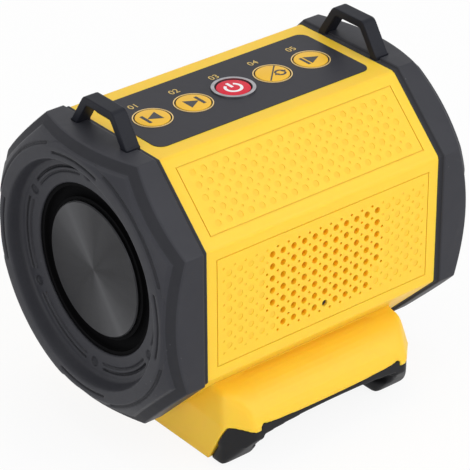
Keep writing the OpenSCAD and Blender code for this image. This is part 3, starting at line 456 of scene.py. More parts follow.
@dataclass(frozen=True)
class Turned(Finish):
    """Metal with fine turning rings about an axis, and its sheen painted into its colour.

    Attributes:
        along: The axis, 0 for X and 2 for Z.
        centre: The height of an X axis. A Z axis goes through the origin.
        pitch: The distance from ring to ring.
        painted_sheen: How strong the painted highlight band across the middle is.
        band: The way in which the band lies, as parts of the two distances across the axis.
        glints: The power that narrows each of its two layers, and how bright that layer is.
        hub: A length that keeps the very middle from dividing by nothing.
        ray: The size of the rays, where the distance round the axis is counted as on a unit circle.
        ray_twist: How fast the rays change along the radius.
        ring: The size of the changes of gloss from ring to ring.
    """

    along: int = 0
    centre: float = AXIS_Z
    pitch: float = 0.35 * MM
    painted_sheen: float = 0.0
    band: tuple[float, float] = (0.6, 0.8)
    glints: tuple[tuple[float, float], tuple[float, float]] = ((3, 0.8), (90, 0.35))
    hub: float = 0.02 * MM
    ray: float = 0.34
    ray_twist: float = 9.0
    ring: float = 0.9 * MM

    def arms(self, graph: Graph) -> tuple[Value, Value]:
        """The two distances across the axis."""
        x, y, z = graph.parts(graph.place())
        return (y, z - self.centre) if self.along == 0 else (x, y)

    def radius(self, graph: Graph) -> Value:
        """The distance from the axis."""
        first, second = self.arms(graph)
        return (first * first + second * second) ** 0.5

    def rays(self, graph: Graph) -> Value:
        """Noise that changes round the axis, and only slowly along the radius: painted streaks of
        sheen.

        Args:
            graph: The material's nodes.

        Returns:
            The noise.
        """
        first, second = self.arms(graph)
        reach = self.radius(graph) + self.hub
        inputs = {0: first / reach, 1: second / reach, 2: reach * self.ray_twist}
        return graph.noise(self.ray, detail=3, at=graph.node("CombineXYZ", {}, inputs))

    def tint(self, graph: Graph) -> Value:
        """The colour over the surface, with painted sheen: rays and a bright highlight band.

        Args:
            graph: The material's nodes.

        Returns:
            The colour.
        """
        first, second = self.arms(graph)
        # Painted highlight: a bow-tie band of light across the axis, painted into the colour.
        along = (first * self.band[0] + second * self.band[1]) / (self.radius(graph) + self.hub)
        wide, narrow = ((along * along) ** power * bright for power, bright in self.glints)
        share = self.rays(graph) * (1 - self.painted_sheen) + (wide + narrow) * self.painted_sheen
        return graph.blend(share, self.colour, self.shade)

    def gloss(self, graph: Graph) -> Value:
        """The roughness over the surface, ring by ring."""
        place = graph.node("CombineXYZ", {}, {0: self.radius(graph)})
        return self.roughness + self.spread * (graph.noise(self.ring, detail=2, at=place) - 0.5)

    def height(self, graph: Graph) -> Value:
        """The turning rings."""
        rings = (self.radius(graph) * (FULL_TURN / self.pitch)).sine()
        return 0.5 + 0.5 * rings


@dataclass(frozen=True)
class Woven(Finish):
    """Open cloth with threads over and under.

    Attributes:
        thread: The distance from thread to thread.
    """

    thread: float = 0.35 * MM

    def height(self, graph: Graph) -> Value:
        """The weave's relief over the surface.

        Args:
            graph: The material's nodes.

        Returns:
            The height, from 0 to 1.
        """
        x, _, z = graph.parts(graph.place())
        turn = math.pi / self.thread
        return 0.5 + 0.5 * (x * turn).sine() * (z * turn).sine()


@dataclass(frozen=True)
class Board(Finish):
    """A circuit board with copper tracks under its lacquer.

    Attributes:
        track: The distance from track to track.
        thin: How many times a track's half width goes into that.
    """

    track: float = 2.4 * MM
    thin: float = 9.0

    def tint(self, graph: Graph) -> Value:
        """The lacquer, paler over the tracks."""
        edge = graph.cells(self.track, "DISTANCE_TO_EDGE")
        return graph.blend((1 - edge * self.thin).at_least(0), self.colour, self.shade)


class Looks:
    """The finishes of this speaker."""

    YELLOW = Finish(
        "look_yellow_shell", (0.885, 0.57, 0.042), (0.865, 0.55, 0.038),
        roughness=0.45, spread=0.08, grain=0.35 * MM, depth=0.01 * MM, specular=0.3, bleed=0.35,
    )
    # Painted shade: the shell's yellow, made darker, on the floors of the shallow dimples.
    DIMPLE_SHADE = Finish(
        "look_dimple_floor_shade", (0.845, 0.53, 0.037), (0.825, 0.51, 0.034),
        roughness=0.5, spread=0.08, grain=0.35 * MM, depth=0.01 * MM, specular=0.3, bleed=0.35,
    )
    # Painted light: the shell's yellow, brighter and more orange, on the walls of the sound holes.
    HOLE_LIT = Finish(
        "look_hole_wall_lit", (1.0, 0.62, 0.024), (0.98, 0.58, 0.02),
        roughness=0.5, spread=0.08, grain=0.35 * MM, depth=0.01 * MM, specular=0.3, bleed=0.35,
    )
    # Its colour carries painted shade in hollows, and pale edges that are partly a painted
    # highlight.
    RUBBER = Bumper(
        "look_cap_rubber", (0.0245, 0.025, 0.031), (0.031, 0.0315, 0.0385),
        roughness=0.5, spread=0.12, grain=0.3 * MM, depth=0.02 * MM, specular=0.22,
    )
    LUG = Rubber(
        "look_lug_plastic", (0.0105, 0.0115, 0.0165), (0.014, 0.0152, 0.021),
        roughness=0.48, spread=0.1, grain=0.3 * MM, depth=0.015 * MM, specular=0.13,
    )
    PANEL = Finish(
        "look_panel", (0.022, 0.022, 0.028), (0.026, 0.026, 0.033),
        roughness=0.42, spread=0.06, grain=0.25 * MM, depth=0.008 * MM, specular=0.15,
    )
    GOLD = Finish(
        "look_key_gold", (0.8, 0.46, 0.035), (0.86, 0.51, 0.05),
        roughness=0.38, spread=0.08, grain=0.12 * MM, depth=0.006 * MM, metallic=0.1, specular=0.15,
    )
    TRIM = Finish(
        "look_trim_gold", (0.78, 0.55, 0.2), (0.84, 0.6, 0.25),
        roughness=0.34, spread=0.08, grain=0.12 * MM, depth=0.006 * MM, metallic=0.4,
    )
    RED = Finish(
        "look_key_red", (0.62, 0.018, 0.04), (0.67, 0.022, 0.047),
        roughness=0.36, spread=0.06, grain=0.3 * MM, depth=0.006 * MM, specular=0.12,
    )
    # Its colour carries painted streaks of sheen.
    SILVER = Turned(
        "look_ring_silver", (0.2, 0.2, 0.215), (0.5, 0.5, 0.52),
        roughness=0.32, spread=0.1, depth=0.004 * MM, metallic=1.0, along=2, pitch=0.2 * MM,
    )
    # Its colour carries a painted highlight band and painted streaks of sheen.
    DISC = Turned(
        "look_disc_metal", (0.012, 0.012, 0.014), (0.094, 0.095, 0.101),
        roughness=0.4, spread=0.1, depth=0.02 * MM, metallic=0.85, specular=0.25, painted_sheen=0.66,
    )
    ROLL = Finish(
        "look_roll_rubber", (0.0035, 0.0035, 0.004), (0.005, 0.005, 0.0055),
        roughness=0.85, spread=0.1, grain=0.5 * MM, depth=0.01 * MM, specular=0.04,
    )
    SHOE = Finish(
        "look_shoe_plastic", (0.014, 0.014, 0.0155), (0.019, 0.019, 0.021),
        roughness=0.5, spread=0.1, grain=0.4 * MM, depth=0.02 * MM, specular=0.13,
    )
    FRAME = Finish(
        "look_frame_plastic", (0.008, 0.008, 0.0085), (0.011, 0.011, 0.012),
        roughness=0.6, specular=0.1,
    )
    FOAM = Finish(
        "look_gasket_foam", (0.02, 0.02, 0.02), (0.03, 0.03, 0.03),
        roughness=0.8, spread=0.1, grain=0.5 * MM, depth=0.1 * MM,
    )
    BOARD = Board("look_board_green", (0.015, 0.1, 0.04), (0.03, 0.17, 0.07), roughness=0.35)
    SWITCH = Finish("look_switch_black", (0.02, 0.02, 0.022), (0.026, 0.026, 0.028), roughness=0.45)
    STEEL = Finish(
        "look_screw_steel", (0.52, 0.52, 0.54), (0.6, 0.6, 0.62),
        roughness=0.3, spread=0.12, grain=0.2 * MM, depth=0.005 * MM, metallic=1.0,
    )
    FERRITE = Finish(
        "look_magnet", (0.05, 0.05, 0.052), (0.07, 0.07, 0.07),
        roughness=0.6, spread=0.2, grain=0.3 * MM, depth=0.03 * MM, metallic=0.3,
    )
    COPPER = Finish(
        "look_coil_copper", (0.62, 0.25, 0.1), (0.7, 0.31, 0.13),
        roughness=0.35, spread=0.1, grain=0.2 * MM, depth=0.02 * MM, metallic=0.9,
    )
    PAPER = Finish(
        "look_cone_paper", (0.03, 0.03, 0.032), (0.045, 0.045, 0.047),
        roughness=0.65, spread=0.1, grain=0.6 * MM, depth=0.05 * MM,
    )
    SPIDER = Woven(
        "look_spider_cloth", (0.5, 0.36, 0.18), (0.56, 0.42, 0.23),
        roughness=0.8, depth=0.06 * MM,
    )
    CLOTH = Woven(
        "look_grille_cloth", (1.0, 0.48, 0.014), (0.97, 0.44, 0.012),
        roughness=0.75, depth=0.06 * MM,
    )
    SLEEVE = Finish("look_capacitor", (0.02, 0.024, 0.05), (0.026, 0.03, 0.06), roughness=0.3)
    WIRE = Finish("look_wire", (0.35, 0.02, 0.015), (0.4, 0.03, 0.02), roughness=0.45)
    BRASS = Finish(
        "look_blades", (0.7, 0.55, 0.28), (0.76, 0.6, 0.32),
        roughness=0.28, spread=0.1, grain=0.2 * MM, depth=0.004 * MM, metallic=1.0,
    )
    INK_DARK = Finish(
        "look_ink_dark", (0.02, 0.02, 0.023), (0.026, 0.026, 0.03),
        roughness=0.5, spread=0.1, grain=0.2 * MM, depth=0.004 * MM,
    )
    INK_WHITE = Finish(
        "look_ink_white", (0.86, 0.86, 0.87), (0.8, 0.8, 0.81),
        roughness=0.45, spread=0.1, grain=0.2 * MM, depth=0.004 * MM,
    )
    INK_GOLD = Finish(
        "look_ink_gold", (0.6, 0.42, 0.1), (0.66, 0.47, 0.13),
        roughness=0.4, spread=0.1, grain=0.2 * MM, depth=0.004 * MM, metallic=0.2,
    )


def put_in_scene(name: str, data: bpy.types.ID) -> bpy.types.Object:
    """Puts a new object into the scene.

    Args:
        name: Its name.
        data: Its mesh, lamp or camera.

    Returns:
        The object.
    """
    made = bpy.data.objects.new(name, data)
    bpy.context.scene.collection.objects.link(made)
    return made


class Bench:
    """Hand tools that shape one mesh at a time."""

    @staticmethod
    def hold(piece: bpy.types.Object) -> None:
        """Makes a piece the only selected one, and the active one.

        Args:
            piece: The piece.
        """
        bpy.ops.object.select_all(action="DESELECT")
        piece.select_set(True)
        bpy.context.view_layer.objects.active = piece

    @staticmethod
    @contextmanager
    def editing(piece: bpy.types.Object, pick: Pick = Pick.FACES) -> Iterator[None]:
        """Edit mode on one piece, with everything selected.

        Args:
            piece: The piece to edit.
            pick: What selections are made of.

        Yields:
            Nothing: operators act on the piece until the block ends.
        """
        Bench.hold(piece)
        bpy.ops.object.mode_set(mode="EDIT")
        bpy.ops.mesh.select_mode(type=pick.value)
        bpy.ops.mesh.select_all(action="SELECT")
        yield
        bpy.ops.object.mode_set(mode="OBJECT")

    @staticmethod
    def choose(piece: bpy.types.Object, pick: Pick, test: Test) -> None:
        """Selects corners, edges or faces by place, in edit mode.

        Args:
            piece: The piece in edit mode.
            pick: What is selected.
            test: Gets an edge's two ends, or the place and normal of a corner or face, and says
                if it is wanted.
        """
        bpy.ops.mesh.select_all(action="DESELECT")
        bpy.ops.mesh.select_mode(type=pick.value)
        mesh = bmesh.from_edit_mesh(piece.data)
        if pick is Pick.EDGES:
            wanted = [edge for edge in mesh.edges if test(edge.verts[0].co, edge.verts[1].co)]
        elif pick is Pick.CORNERS:
            wanted = [corner for corner in mesh.verts if test(corner.co, corner.normal)]
        else:
            wanted = [face for face in mesh.faces if test(face.calc_center_median(), face.normal)]
        for element in wanted:
            element.select_set(True)
        mesh.select_flush_mode()
        bmesh.update_edit_mesh(piece.data)

    @staticmethod
    def named(name: str) -> bpy.types.Object:
        """Names the object that an operator has just made.

        Args:
            name: Its name.

        Returns:
            The object.
        """
        piece = bpy.context.view_layer.objects.active
        piece.name = name
        piece.data.name = name
        return piece

    @staticmethod
    def outline(name: str, corners: Sequence[Vector]) -> bpy.types.Object:
        """A flat filled piece.

        Args:
            name: The piece's name.
            corners: Its corners, in order.

        Returns:
            The piece.
        """
        bpy.ops.object.select_all(action="DESELECT")
        bpy.ops.mesh.primitive_circle_add(vertices=len(corners), radius=1 * MM, fill_type="NGON")
        piece = Bench.named(name)
        for vertex, corner in zip(piece.data.vertices, corners, strict=True):
            vertex.co = corner
        return piece

    @staticmethod
    def modify(piece: bpy.types.Object, kind: str, **settings: object) -> None:
        """Puts a modifier on a piece and applies it.

        Args:
            piece: The piece to change.
            kind: The modifier's type.
            settings: Its settings.
        """
        Bench.hold(piece)
        modifier = piece.modifiers.new(kind.lower(), kind)
        for name, setting in settings.items():
            setattr(modifier, name, setting)
        bpy.ops.object.modifier_apply(modifier=modifier.name)

    @staticmethod
    def smooth(piece: bpy.types.Object, degrees: float = 35.0) -> None:
        """Shades a piece smooth over edges flatter than an angle."""
        Bench.hold(piece)
        bpy.ops.object.shade_smooth_by_angle(angle=math.radians(degrees))

    @staticmethod
    def settle(piece: bpy.types.Object) -> None:
        """Moves a piece's place, turn and scale into its mesh."""
        Bench.hold(piece)
        bpy.ops.object.transform_apply(location=True, rotation=True, scale=True)

    @staticmethod
    def from_node(node: str, name: str) -> bpy.types.Object:
        """A new piece with a CAD node's shape, its loose triangles joined.

        Args:
            node: The node to copy.
            name: The new piece's name.

        Returns:
            The piece.
        """
        piece = put_in_scene(name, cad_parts[node].data.copy())
        with Bench.editing(piece):
            bpy.ops.mesh.remove_doubles(threshold=JOINED)
        bpy.ops.mesh.customdata_custom_splitnormals_clear()
        return piece

    @staticmethod
    def skin(piece: bpy.types.Object, voxel: float, passes: int) -> None:
        """Gives a piece a fine even mesh, smoothed in passes until its edges look moulded."""
        Bench.modify(piece, "REMESH", mode="VOXEL", voxel_size=voxel, adaptivity=0.0)
        Bench.modify(piece, "SMOOTH", factor=0.5, iterations=passes)

    @staticmethod
    def relax(piece: bpy.types.Object, test: Test, repeat: int) -> None:
        """Softens a fine mesh in one region.

        Args:
            piece: The piece.
            test: Gets a corner's place and normal, and says if it is in the region.
            repeat: How often the region is smoothed.
        """
        with Bench.editing(piece, Pick.CORNERS):
            Bench.choose(piece, Pick.CORNERS, test)
            bpy.ops.mesh.vertices_smooth(factor=0.5, repeat=repeat)

    @staticmethod
    def thin(piece: bpy.types.Object, keep: float) -> None:
        """Thins a fine mesh where it is flat to a share of its faces, and shades it smooth."""
        Bench.modify(piece, "DECIMATE", decimate_type="COLLAPSE", ratio=keep)
        Bench.smooth(piece, degrees=60)

    @staticmethod
    def mirrored(piece: bpy.types.Object, name: str) -> bpy.types.Object:
        """A copy of a piece for the other end.

        Args:
            piece: The piece to copy.
            name: The copy's name.

        Returns:
            The copy.
        """
        twin = put_in_scene(name, piece.data.copy())
        with Bench.editing(twin):
            bpy.ops.transform.resize(value=(-1, 1, 1), center_override=(0, 0, 0))
            bpy.ops.mesh.normals_make_consistent(inside=False)
        return twin


def finish_piece(
    piece: bpy.types.Object, body: str, finish: Finish, stands_for: Sequence[str] = ()
) -> bpy.types.Object:
    """Dresses a new piece and puts it on its body.

    Args:
        piece: The piece.
        body: The CAD body that it moves with.
        finish: Its finish.
        stands_for: The CAD nodes that it stands for.

    Returns:
        The piece.
    """
    piece.data.materials.clear()
    piece.data.materials.append(finish.material())
    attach(piece, body)
    if stands_for:
        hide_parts(*stands_for)
    log.info("%s: %d faces on %s", piece.name, len(piece.data.polygons), body)
    return piece


def dress_nodes(finishes: dict[str, Finish]) -> None:
    """Gives CAD nodes their finishes.

    Args:
        finishes: The nodes' names, each with its finish.
    """
    for node, finish in finishes.items():
        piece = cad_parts[node]
        if not piece.material_slots:
            piece.data.materials.append(None)
        for slot in piece.material_slots:
            slot.material = finish.material()
        log.info("%s: dressed as %s", node, finish.name)


@dataclass
class Shell:
    """The yellow octagonal shell with its four grille panels.

    Attributes:
        half_len: Half the shell's length between the bumpers.
        half_flat: Half the width of a flat.
        apothem: From the axis to a flat.
        edge: How far the rounding of a long edge reaches on to its faces.
        cloth_r: The radius of the cloth behind the sound holes.
        cloth_z: The height of the cloth's middle.
        cloth_y: The cloth's front face.
        cloth_t: The cloth's thickness.
        hem: The width of the cloth's hem.
        mic_z: The height of the microphone's hole.
        mic_r: The radius within which a wall is that hole's.
        seam: How far the panels widen behind their faces.
        seam_depth: The depth of the groove round a panel.
        floor_d: The depths between which a dimple's floor lies.
        floor_share: How squarely, at least, a floor faces the panel's way.
        wall_d: The depth at which a sound hole's finish starts.
        wall_share: How squarely, at most, a hole's wall faces the panel's way.
        end_share: How squarely, at most, a hole's wall faces along the shell.
    """

    half_len: float = 55 * MM
    half_flat: float = 26.7 * MM
    apothem: float = 52.5 * MM
    edge: float = 1.0 * MM
    cloth_r: float = 15.1 * MM
    cloth_z: float = 75.5 * MM
    cloth_y: float = -50.07 * MM
    cloth_t: float = 0.12 * MM
    hem: float = 1.2 * MM
    mic_z: float = 55 * MM
    mic_r: float = 1.6 * MM
    seam: float = 0.4 * MM
    seam_depth: float = 0.08 * MM
    floor_d: tuple[float, float] = (0.05 * MM, 1.0 * MM)
    floor_share: float = 0.9
    # wall_d: The depth at which the painted light on a sound hole's wall starts.
    wall_d: float = 0.3 * MM
    wall_share: float = 0.3
    end_share: float = 0.99

    def on_long_edge(self, first: Vector, second: Vector) -> bool:
        """Whether an edge lies on one of the shell's eight long edges.

        Args:
            first: One end.
            second: The other end.

        Returns:
            True if it does.
        """
        for end in (first, second):
            if abs(end.x) > self.half_len + CLOSE:
                return False
            near, far = sorted((abs(end.y), abs(end.z - AXIS_Z)))
            if abs(near - self.half_flat) > NEAR or abs(far - self.apothem) > NEAR:
                return False
        return abs(first.x - second.x) > 1 * MM

    def build_body(self) -> None:
        """The shell, with its long edges rounded."""
        piece = Bench.from_node("main_housing", "shell_body")
        with Bench.editing(piece, Pick.EDGES):
            bpy.ops.mesh.dissolve_limited(angle_limit=FLAT)
            Bench.choose(piece, Pick.EDGES, self.on_long_edge)
            bpy.ops.mesh.bevel(offset=self.edge, segments=5, affect="EDGES", profile=0.5)
        Bench.smooth(piece)
        finish_piece(piece, HOUSING, Looks.YELLOW, ["main_housing"])

    def build_grilles(self) -> None:
        """The four panels, with painted shade on their dimples' floors and painted light on the
        walls of the sound holes.
        """
        slant = math.sqrt(0.5)
        facings = {
            "front_grille": Vector((0, -1, 0)),
            "upper_grille": Vector((0, -slant, slant)),
            "rear_grille": Vector((0, 1, 0)),
            "rear_upper_grille": Vector((0, slant, slant)),
        }
        for name, facing in facings.items():
            piece = Bench.from_node(name, name + "_panel")
            self.close_seam(piece, facing)
            Bench.smooth(piece)
            finish_piece(piece, HOUSING, Looks.YELLOW, [name])
            # Painted shade on the floors of the dimples.
            self.dress_relief(piece, Looks.DIMPLE_SHADE, partial(self.in_dimple, facing=facing))
            # Painted light on the walls of the sound holes.
            if name == "front_grille":
                self.dress_relief(piece, Looks.HOLE_LIT, self.in_hole)

    def reach(self, facing: Vector) -> float:
        """How far from the axis a panel's face lies: the slanted faces lie further out."""
        less, more = sorted((abs(facing.y), abs(facing.z)))
        return self.apothem * more + self.half_flat * less

    def depth(self, place: Vector, facing: Vector) -> float:
        """How far a point lies behind the face of its panel."""
        return self.reach(facing) - (place - AXIS).dot(facing)

    def close_seam(self, piece: bpy.types.Object, facing: Vector) -> None:
        """Widens a panel behind its face, so that the seam round it is a shallow groove.

        Args:
            piece: The panel.
            facing: The way it faces.
        """
        across = facing.cross(Vector((1, 0, 0)))
        middle = AXIS + facing * self.reach(facing)
        places = [vertex.co - middle for vertex in piece.data.vertices]
        half_x = max(abs(place.x) for place in places)
        half_t = max(abs(place.dot(across)) for place in places)
        more_x, more_t = 1 + self.seam / half_x, 1 + self.seam / half_t
        behind = 0.9 * self.seam_depth

        def on_rim(place: Vector, _: Vector) -> bool:
            """Whether a point of the panel is on its rim, behind the groove.

            Args:
                place: The point.

            Returns:
                True if it is.
            """
            off = place - middle
            near_x, near_t = half_x - abs(off.x), half_t - abs(off.dot(across))
            return self.depth(place, facing) > behind and min(near_x, near_t) < NEAR

        with Bench.editing(piece, Pick.CORNERS):
            bpy.ops.mesh.bisect(plane_co=middle - facing * self.seam_depth, plane_no=facing)
            Bench.choose(piece, Pick.CORNERS, on_rim)
            bpy.ops.transform.resize(value=(more_x, more_t, more_t), center_override=middle)

    def in_dimple(self, middle: Vector, normal: Vector, facing: Vector) -> bool:
        """Whether a face, by its middle and normal, is a dimple's floor in a panel facing a way."""
        shallow, deep = self.floor_d
        return normal.dot(facing) > self.floor_share and shallow < self.depth(middle, facing) < deep

    def in_hole(self, middle: Vector, normal: Vector) -> bool:
        """Whether a face of the front panel is in the wall of a sound hole.

        Args:
            middle: The face's middle.
            normal: The way it faces.

        Returns:
            True if it is.
        """
        from_mic = math.hypot(middle.x, middle.z - self.mic_z)
        in_field = abs(middle.x) < 2 * self.cloth_r and middle.y > self.wall_d - self.apothem
        is_wall = abs(normal.y) < self.wall_share and abs(normal.x) < self.end_share
        return in_field and is_wall and from_mic > self.mic_r

    @staticmethod
    def dress_relief(piece: bpy.types.Object, finish: Finish, test: Test) -> None:
        """Gives part of a panel another finish: the painted shade of the dimples and the painted
        light of the hole walls.

        Args:
            piece: The panel.
            finish: The finish.
            test: Gets a face's middle and normal, and says if it is in that part.
        """
        piece.data.materials.append(finish.material())
        with Bench.editing(piece):
            Bench.choose(piece, Pick.FACES, test)
            piece.active_material_index = len(piece.data.materials) - 1
            bpy.ops.object.material_slot_assign()

    def build_cloth(self) -> None:
        """The thin cloth that keeps dust off the driver."""
        bpy.ops.object.select_all(action="DESELECT")
        bpy.ops.mesh.primitive_circle_add(
            vertices=48,
            radius=self.cloth_r,
            fill_type="NGON",
            location=(0, self.cloth_y, self.cloth_z),
            rotation=(math.pi / 2, 0, 0),
        )
        piece = Bench.named("grille_cloth")
        Bench.settle(piece)
        with Bench.editing(piece):
            bpy.ops.mesh.inset(thickness=self.hem)
        Bench.modify(piece, "SOLIDIFY", thickness=self.cloth_t, offset=-1.0)
        finish_piece(piece, HOUSING, Looks.CLOTH)

    def build(self) -> None:
        """Makes the shell's pieces."""
        self.build_body()
        self.build_grilles()
        self.build_cloth()


@dataclass
class Pedestal:
    """The foot: a yellow skirt over a black shoe for a slide-on battery.

    Attributes:
        voxel: The fineness of the skirt's skin.
        passes: How often that skin is smoothed.
        soft_from: Where the skirt's soft corners start along X and Y, either way, and up.
        soft_repeat: How often the soft corners are smoothed.
        keep: The share of the skirt's faces that is kept.
        lean: How squarely, at least, the skirt's faces on the shell look up and inwards.
        root: How far the skirt's neck is carried on into the shell.
        shoe_voxel: The fineness of the shoe's skin.
        shoe_passes: How often that skin is smoothed.
        foot: The shoe's rounded foot: from where along X, and up to where.
        foot_repeat: How often the foot is smoothed.
        shoe_keep: The share of the shoe's faces that is kept.
    """

    voxel: float = 0.45 * MM
    passes: int = 2
    soft_from: Place = (30 * MM, 40 * MM, 18.3 * MM)
    soft_repeat: int = 80
    keep: float = 0.2
    lean: float = 0.65
    root: float = 1.6 * MM
    shoe_voxel: float = 0.5 * MM
    shoe_passes: int = 4
    foot: tuple[float, float] = (26 * MM, 9 * MM)
    foot_repeat: int = 40
    shoe_keep: float = 0.25

    def in_corner(self, place: Vector, _: Vector) -> bool:
        """Whether a point of the skirt is in one of its soft corners."""
        x, y, z = self.soft_from
        return abs(place.x) > x and abs(place.y) > y and place.z > z

    def in_foot(self, place: Vector, _: Vector) -> bool:
        """Whether a point of the shoe is in one of its rounded feet."""
        return abs(place.x) > self.foot[0] and place.z < self.foot[1]

    def on_shell(self, place: Vector, normal: Vector) -> bool:
        """Whether a face of the skirt lies against one of the shell's slanted sides."""
        return normal.z > self.lean and abs(normal.y) > self.lean and normal.y * place.y < 0

    def build(self) -> None:
        """Makes the skirt and the shoe, and dresses the contacts and the screws."""
        skirt = Bench.from_node("battery_base", "pedestal_skirt")
        with Bench.editing(skirt):
            Bench.choose(skirt, Pick.FACES, self.on_shell)
            bpy.ops.mesh.extrude_region_move(TRANSFORM_OT_translate={"value": (0, 0, self.root)})
        Bench.skin(skirt, self.voxel, self.passes)
        Bench.relax(skirt, self.in_corner, self.soft_repeat)
        Bench.thin(skirt, self.keep)
        finish_piece(skirt, HOUSING, Looks.YELLOW, ["battery_base"])
        shoe = Bench.from_node("battery_shoe", "pedestal_shoe")
        Bench.skin(shoe, self.shoe_voxel, self.shoe_passes)
        Bench.relax(shoe, self.in_foot, self.foot_repeat)
        Bench.thin(shoe, self.shoe_keep)
        finish_piece(shoe, HOUSING, Looks.SHOE, ["battery_shoe"])
        dress_nodes(
            {
                "terminal_block": Looks.SWITCH,
                "contact_blades": Looks.BRASS,
                "base_screws": Looks.STEEL,
            }
        )


@dataclass
class EndCap:
    """A soft end bumper with its strap lug.

    Attributes:
        side: The end it is on.
        voxel: The fineness of the bumper's skin.
        passes: How often that skin is smoothed.
        keep: The share of the bumper's faces that is kept.
        dish_r: The radii between which the dish runs up to the crest.
        dish_u: How far out from the middle of the speaker the dish starts.
        dish_repeat: How often it is smoothed there.
        corner_r: The radius at which the raised corners of the chamfer start.
        corner_flat: From the axis to the straight edges where they end.
        corner_rise: How far they stand out.
        corner_share: How squarely, at least, they face outwards.
        ease_r: How far inside their radius they are eased.
        ease_share: How squarely, at least, the eased part faces outwards.
        ease_repeat: How often it is smoothed.
        slant: How much further from the axis a slanted flat lies.
        lug_voxel: The fineness of the lug's skin.
        lug_passes: How often that skin is smoothed.
        lug_keep: The share of the lug's faces that is kept.
    """

    side: Side
    voxel: float = 0.34 * MM
    passes: int = 2
    keep: float = 0.18
    dish_r: tuple[float, float] = (42.2 * MM, 44.6 * MM)
    dish_u: float = 65 * MM
    dish_repeat: int = 30
    corner_r: float = 51.2 * MM
    corner_flat: float = 50.2 * MM
    corner_rise: float = 0.5 * MM
    corner_share: float = 0.3
    ease_r: float = 0.6 * MM
    ease_share: float = 0.2
    ease_repeat: int = 3
    slant: float = 57.2 / 53.7
    lug_voxel: float = 0.3 * MM
    lug_passes: int = 4
    lug_keep: float = 0.5

    def in_corner(self, place: Vector, normal: Vector) -> bool:
        """Whether a point of the left bumper is on a raised corner of its chamfer.

        Args:
            place: The point.
            normal: The way it faces.

        Returns:
            True if it is.
        """
        up, across = abs(place.z - AXIS_Z), abs(place.y)
        flat = max(up, across, (up + across) * math.sqrt(0.5) / self.slant)
        in_ring = math.hypot(up, across) > self.corner_r and flat < self.corner_flat
        return normal.x < -self.corner_share and in_ring

    def by_corner(self, place: Vector, normal: Vector) -> bool:
        """Whether a point of the left bumper is where the chamfer's raised corners are eased."""
        radius = math.hypot(place.y, place.z - AXIS_Z)
        return normal.x < -self.ease_share and radius > self.corner_r - self.ease_r

    def in_dish_edge(self, place: Vector, _: Vector) -> bool:
        """Whether a point of the bumper is where the dish runs up to the crest."""
        radius = math.hypot(place.y, place.z - AXIS_Z)
        return abs(place.x) > self.dish_u and self.dish_r[0] < radius < self.dish_r[1]

    def build(self) -> None:
        """Makes the bumper and the lug, the right ones as copies of the left ones."""
        word = self.side.word
        if self.side is Side.LEFT:
            cap = Bench.from_node("left_end_cap", "left_bumper")
            Bench.skin(cap, self.voxel, self.passes)
            Bench.relax(cap, self.in_dish_edge, self.dish_repeat)
            with Bench.editing(cap, Pick.CORNERS):
                Bench.choose(cap, Pick.CORNERS, self.in_corner)
                bpy.ops.transform.translate(value=(-self.corner_rise, 0, 0))
            Bench.relax(cap, self.by_corner, self.ease_repeat)
            Bench.thin(cap, self.keep)
            lug = Bench.from_node("left_strap_lug", "left_lug")
            Bench.skin(lug, self.lug_voxel, self.lug_passes)
            Bench.thin(lug, self.lug_keep)
        else:
            cap = Bench.mirrored(bpy.data.objects["left_bumper"], "right_bumper")
            lug = Bench.mirrored(bpy.data.objects["left_lug"], "right_lug")
        finish_piece(cap, HOUSING, Looks.RUBBER, [f"{word}_end_cap"])
        finish_piece(lug, HOUSING, Looks.LUG, [f"{word}_strap_lug"])


def arc_points(
    middle: tuple[float, float], radius: float, start: float, stop: float, steps: int
) -> Section:
    """Points of an arc in steps about its middle, from a first angle to a last one, in degrees."""
    angles = [math.radians(start + (stop - start) * step / steps) for step in range(steps + 1)]
    return [(middle[0] + radius * math.cos(a), middle[1] + radius * math.sin(a)) for a in angles]


@dataclass(frozen=True)
class Axis:
    """A level axis that sections are turned about.

    Attributes:
        centre: A point of it.
        along: The way in which lengths along it are counted.
    """

    centre: Place
    along: Place

    def place(self, radius: float, length: float) -> Vector:
        """Where a point of a section lies before it is turned, above the axis."""
        return Vector(self.centre) + Vector(self.along) * length + Vector((0, 0, radius))

    def turned(
        self, name: str, section: Section, steps: int, angle: float = FULL_TURN
    ) -> bpy.types.Object:
        """Turns a closed section about the axis.

        Args:
            name: The piece's name.
            section: The section's outline.
            steps: How many faces there are round the axis.
            angle: How far it is turned.

        Returns:
            The piece.
        """
        piece = Bench.outline(name, [self.place(radius, length) for radius, length in section])
        whole = angle >= FULL_TURN
        with Bench.editing(piece):
            bpy.ops.mesh.spin(
                steps=steps, angle=angle, center=self.centre, axis=self.along, use_auto_merge=whole
            )
            bpy.ops.mesh.select_all(action="SELECT")
            bpy.ops.mesh.remove_doubles(threshold=JOINED)
            bpy.ops.mesh.delete_loose()
            if whole:
                bpy.ops.mesh.select_all(action="DESELECT")
                bpy.ops.mesh.select_face_by_sides(number=len(section), type="EQUAL")
                bpy.ops.mesh.delete(type="ONLY_FACE")
            bpy.ops.mesh.select_all(action="SELECT")
            bpy.ops.mesh.normals_make_consistent(inside=False)
        Bench.smooth(piece, degrees=40)
        return piece


